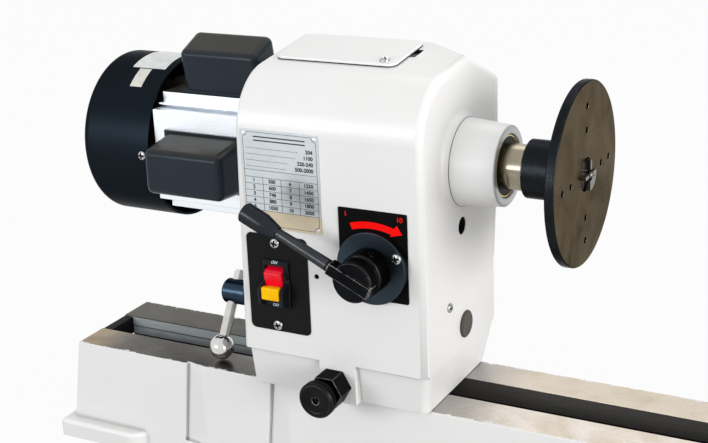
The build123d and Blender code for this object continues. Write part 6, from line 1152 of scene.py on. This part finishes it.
# Tailstock: a white casting clamped by an iron plate and a cam lever, with a ground quill, a live
# centre, a chromed handwheel on the feed screw and a quill lock on top.
fit_nodes(("tailstock_casting", 1.0, "tailstock", "white_paint", white_paint),
          ("tailstock_clamp", 0.5, "tailstock", "cast_iron", cast_iron),
          ("tailstock_lever", 0.0, "tailstock_clamp_lever", "chrome", chrome),
          ("tailstock_quill", 0.3, "quill", "bright_steel", bright_steel),
          ("live_centre", 0.2, "centre_point", "bright_steel", bright_steel),
          ("handwheel", 0.0, "wheel", "chrome", chrome),
          ("quill_lock", 0.0, "quill_clamp", "chrome", chrome))


# Studio: a floor and a surround that show white, and three soft lights: one low in front on the
# left, one above behind and one on the right.
FLOOR_HALF = 6.0
FLOOR_GREY = 0.26
FLOOR_GLOW = 0.965
SURROUND_LIGHT = 0.66
AIM = Vector((-0.25, 0.0, 0.25))
CAMERA_PLACE = (0.26776, -0.99868, 0.62225)


def seen_directly(tree):
    """1 for what is seen straight, in a mirror or through glass, 0 for what lights the object."""
    ray = put(tree, "ShaderNodeLightPath").outputs
    mirrored = maths(tree, "MAXIMUM", ray["Is Glossy Ray"], ray["Is Transmission Ray"])
    return maths(tree, "MAXIMUM", ray["Is Camera Ray"], mirrored)


floor_mesh = bpy.data.meshes.new("studio_floor")
floor_corners = [(FLOOR_HALF * x, FLOOR_HALF * y, 0) for x, y in ((-1, -1), (1, -1), (1, 1), (-1, 1))]
floor_mesh.from_pydata(floor_corners, [], [(0, 1, 2, 3)])
floor = add("studio_floor", floor_mesh)
floor_white, tree, shader = new_finish("floor_white")
shader.inputs["Base Color"].default_value = (FLOOR_GREY, FLOOR_GREY, FLOOR_GREY, 1.0)
shader.inputs["Roughness"].default_value = 0.9
shader.inputs["Specular IOR Level"].default_value = 0.0
glow = put(tree, "ShaderNodeEmission", {"Color": (1.0, 1.0, 1.0, 1.0), "Strength": 1.0})
share = maths(tree, "MULTIPLY", seen_directly(tree), FLOOR_GLOW)
mixed = put(tree, "ShaderNodeMixShader", {0: share, 1: shader.outputs[0], 2: glow.outputs[0]})
tree.links.new(mixed.outputs[0], tree.nodes["Material Output"].inputs["Surface"])
floor_mesh.materials.append(floor_white)

world = bpy.data.worlds.new("studio_surround")
world.use_nodes = True
bpy.context.scene.world = world
tree = world.node_tree
ground = tree.nodes["Background"]
ground.inputs["Color"].default_value = (1.0, 1.0, 1.0, 1.0)
strength = spread(tree, seen_directly(tree), 0.0, 1.0, SURROUND_LIGHT, 1.0)
tree.links.new(strength, ground.inputs["Strength"])

for name, place, width, height, power, colour in (
        ("front_softbox", (-1.15, -1.80, 0.66), 0.9, 0.45, 14.5, (0.96, 0.985, 1.0)),
        ("top_softbox", (-0.20, 0.95, 1.55), 1.6, 0.8, 6.5, (1.0, 1.0, 0.99)),
        ("right_softbox", (1.99, -0.88, 0.61), 1.6, 1.0, 46.0, (1.0, 0.995, 0.99))):
    lamp = bpy.data.lights.new(name, "AREA")
    lamp.shape = "RECTANGLE"
    lamp.size = width
    lamp.size_y = height
    lamp.energy = power
    lamp.color = colour
    box = add(name, lamp)
    box.location = place
    box.rotation_mode = "QUATERNION"
    box.rotation_quaternion = (AIM - Vector(place)).to_track_quat("-Z", "Y")

camera = bpy.data.cameras.new("camera")
camera.sensor_width = 36
camera.lens = 70.52
camera.clip_start = 0.05
stand = add("camera", camera)
az, el, roll = radians(28.5537), radians(18.8710), radians(-2.2744)
back = Vector((sin(az) * cos(el), -cos(az) * cos(el), sin(el)))
level = Vector((0, 0, 1)).cross(back).normalized()
upright = back.cross(level)
across = level * cos(roll) + upright * sin(roll)
turned = Matrix((across, upright * cos(roll) - level * sin(roll), back)).transposed().to_4x4()
turned.translation = CAMERA_PLACE
stand.matrix_world = turned
bpy.context.scene.camera = stand
bpy.context.scene.view_settings.view_transform = "Standard"
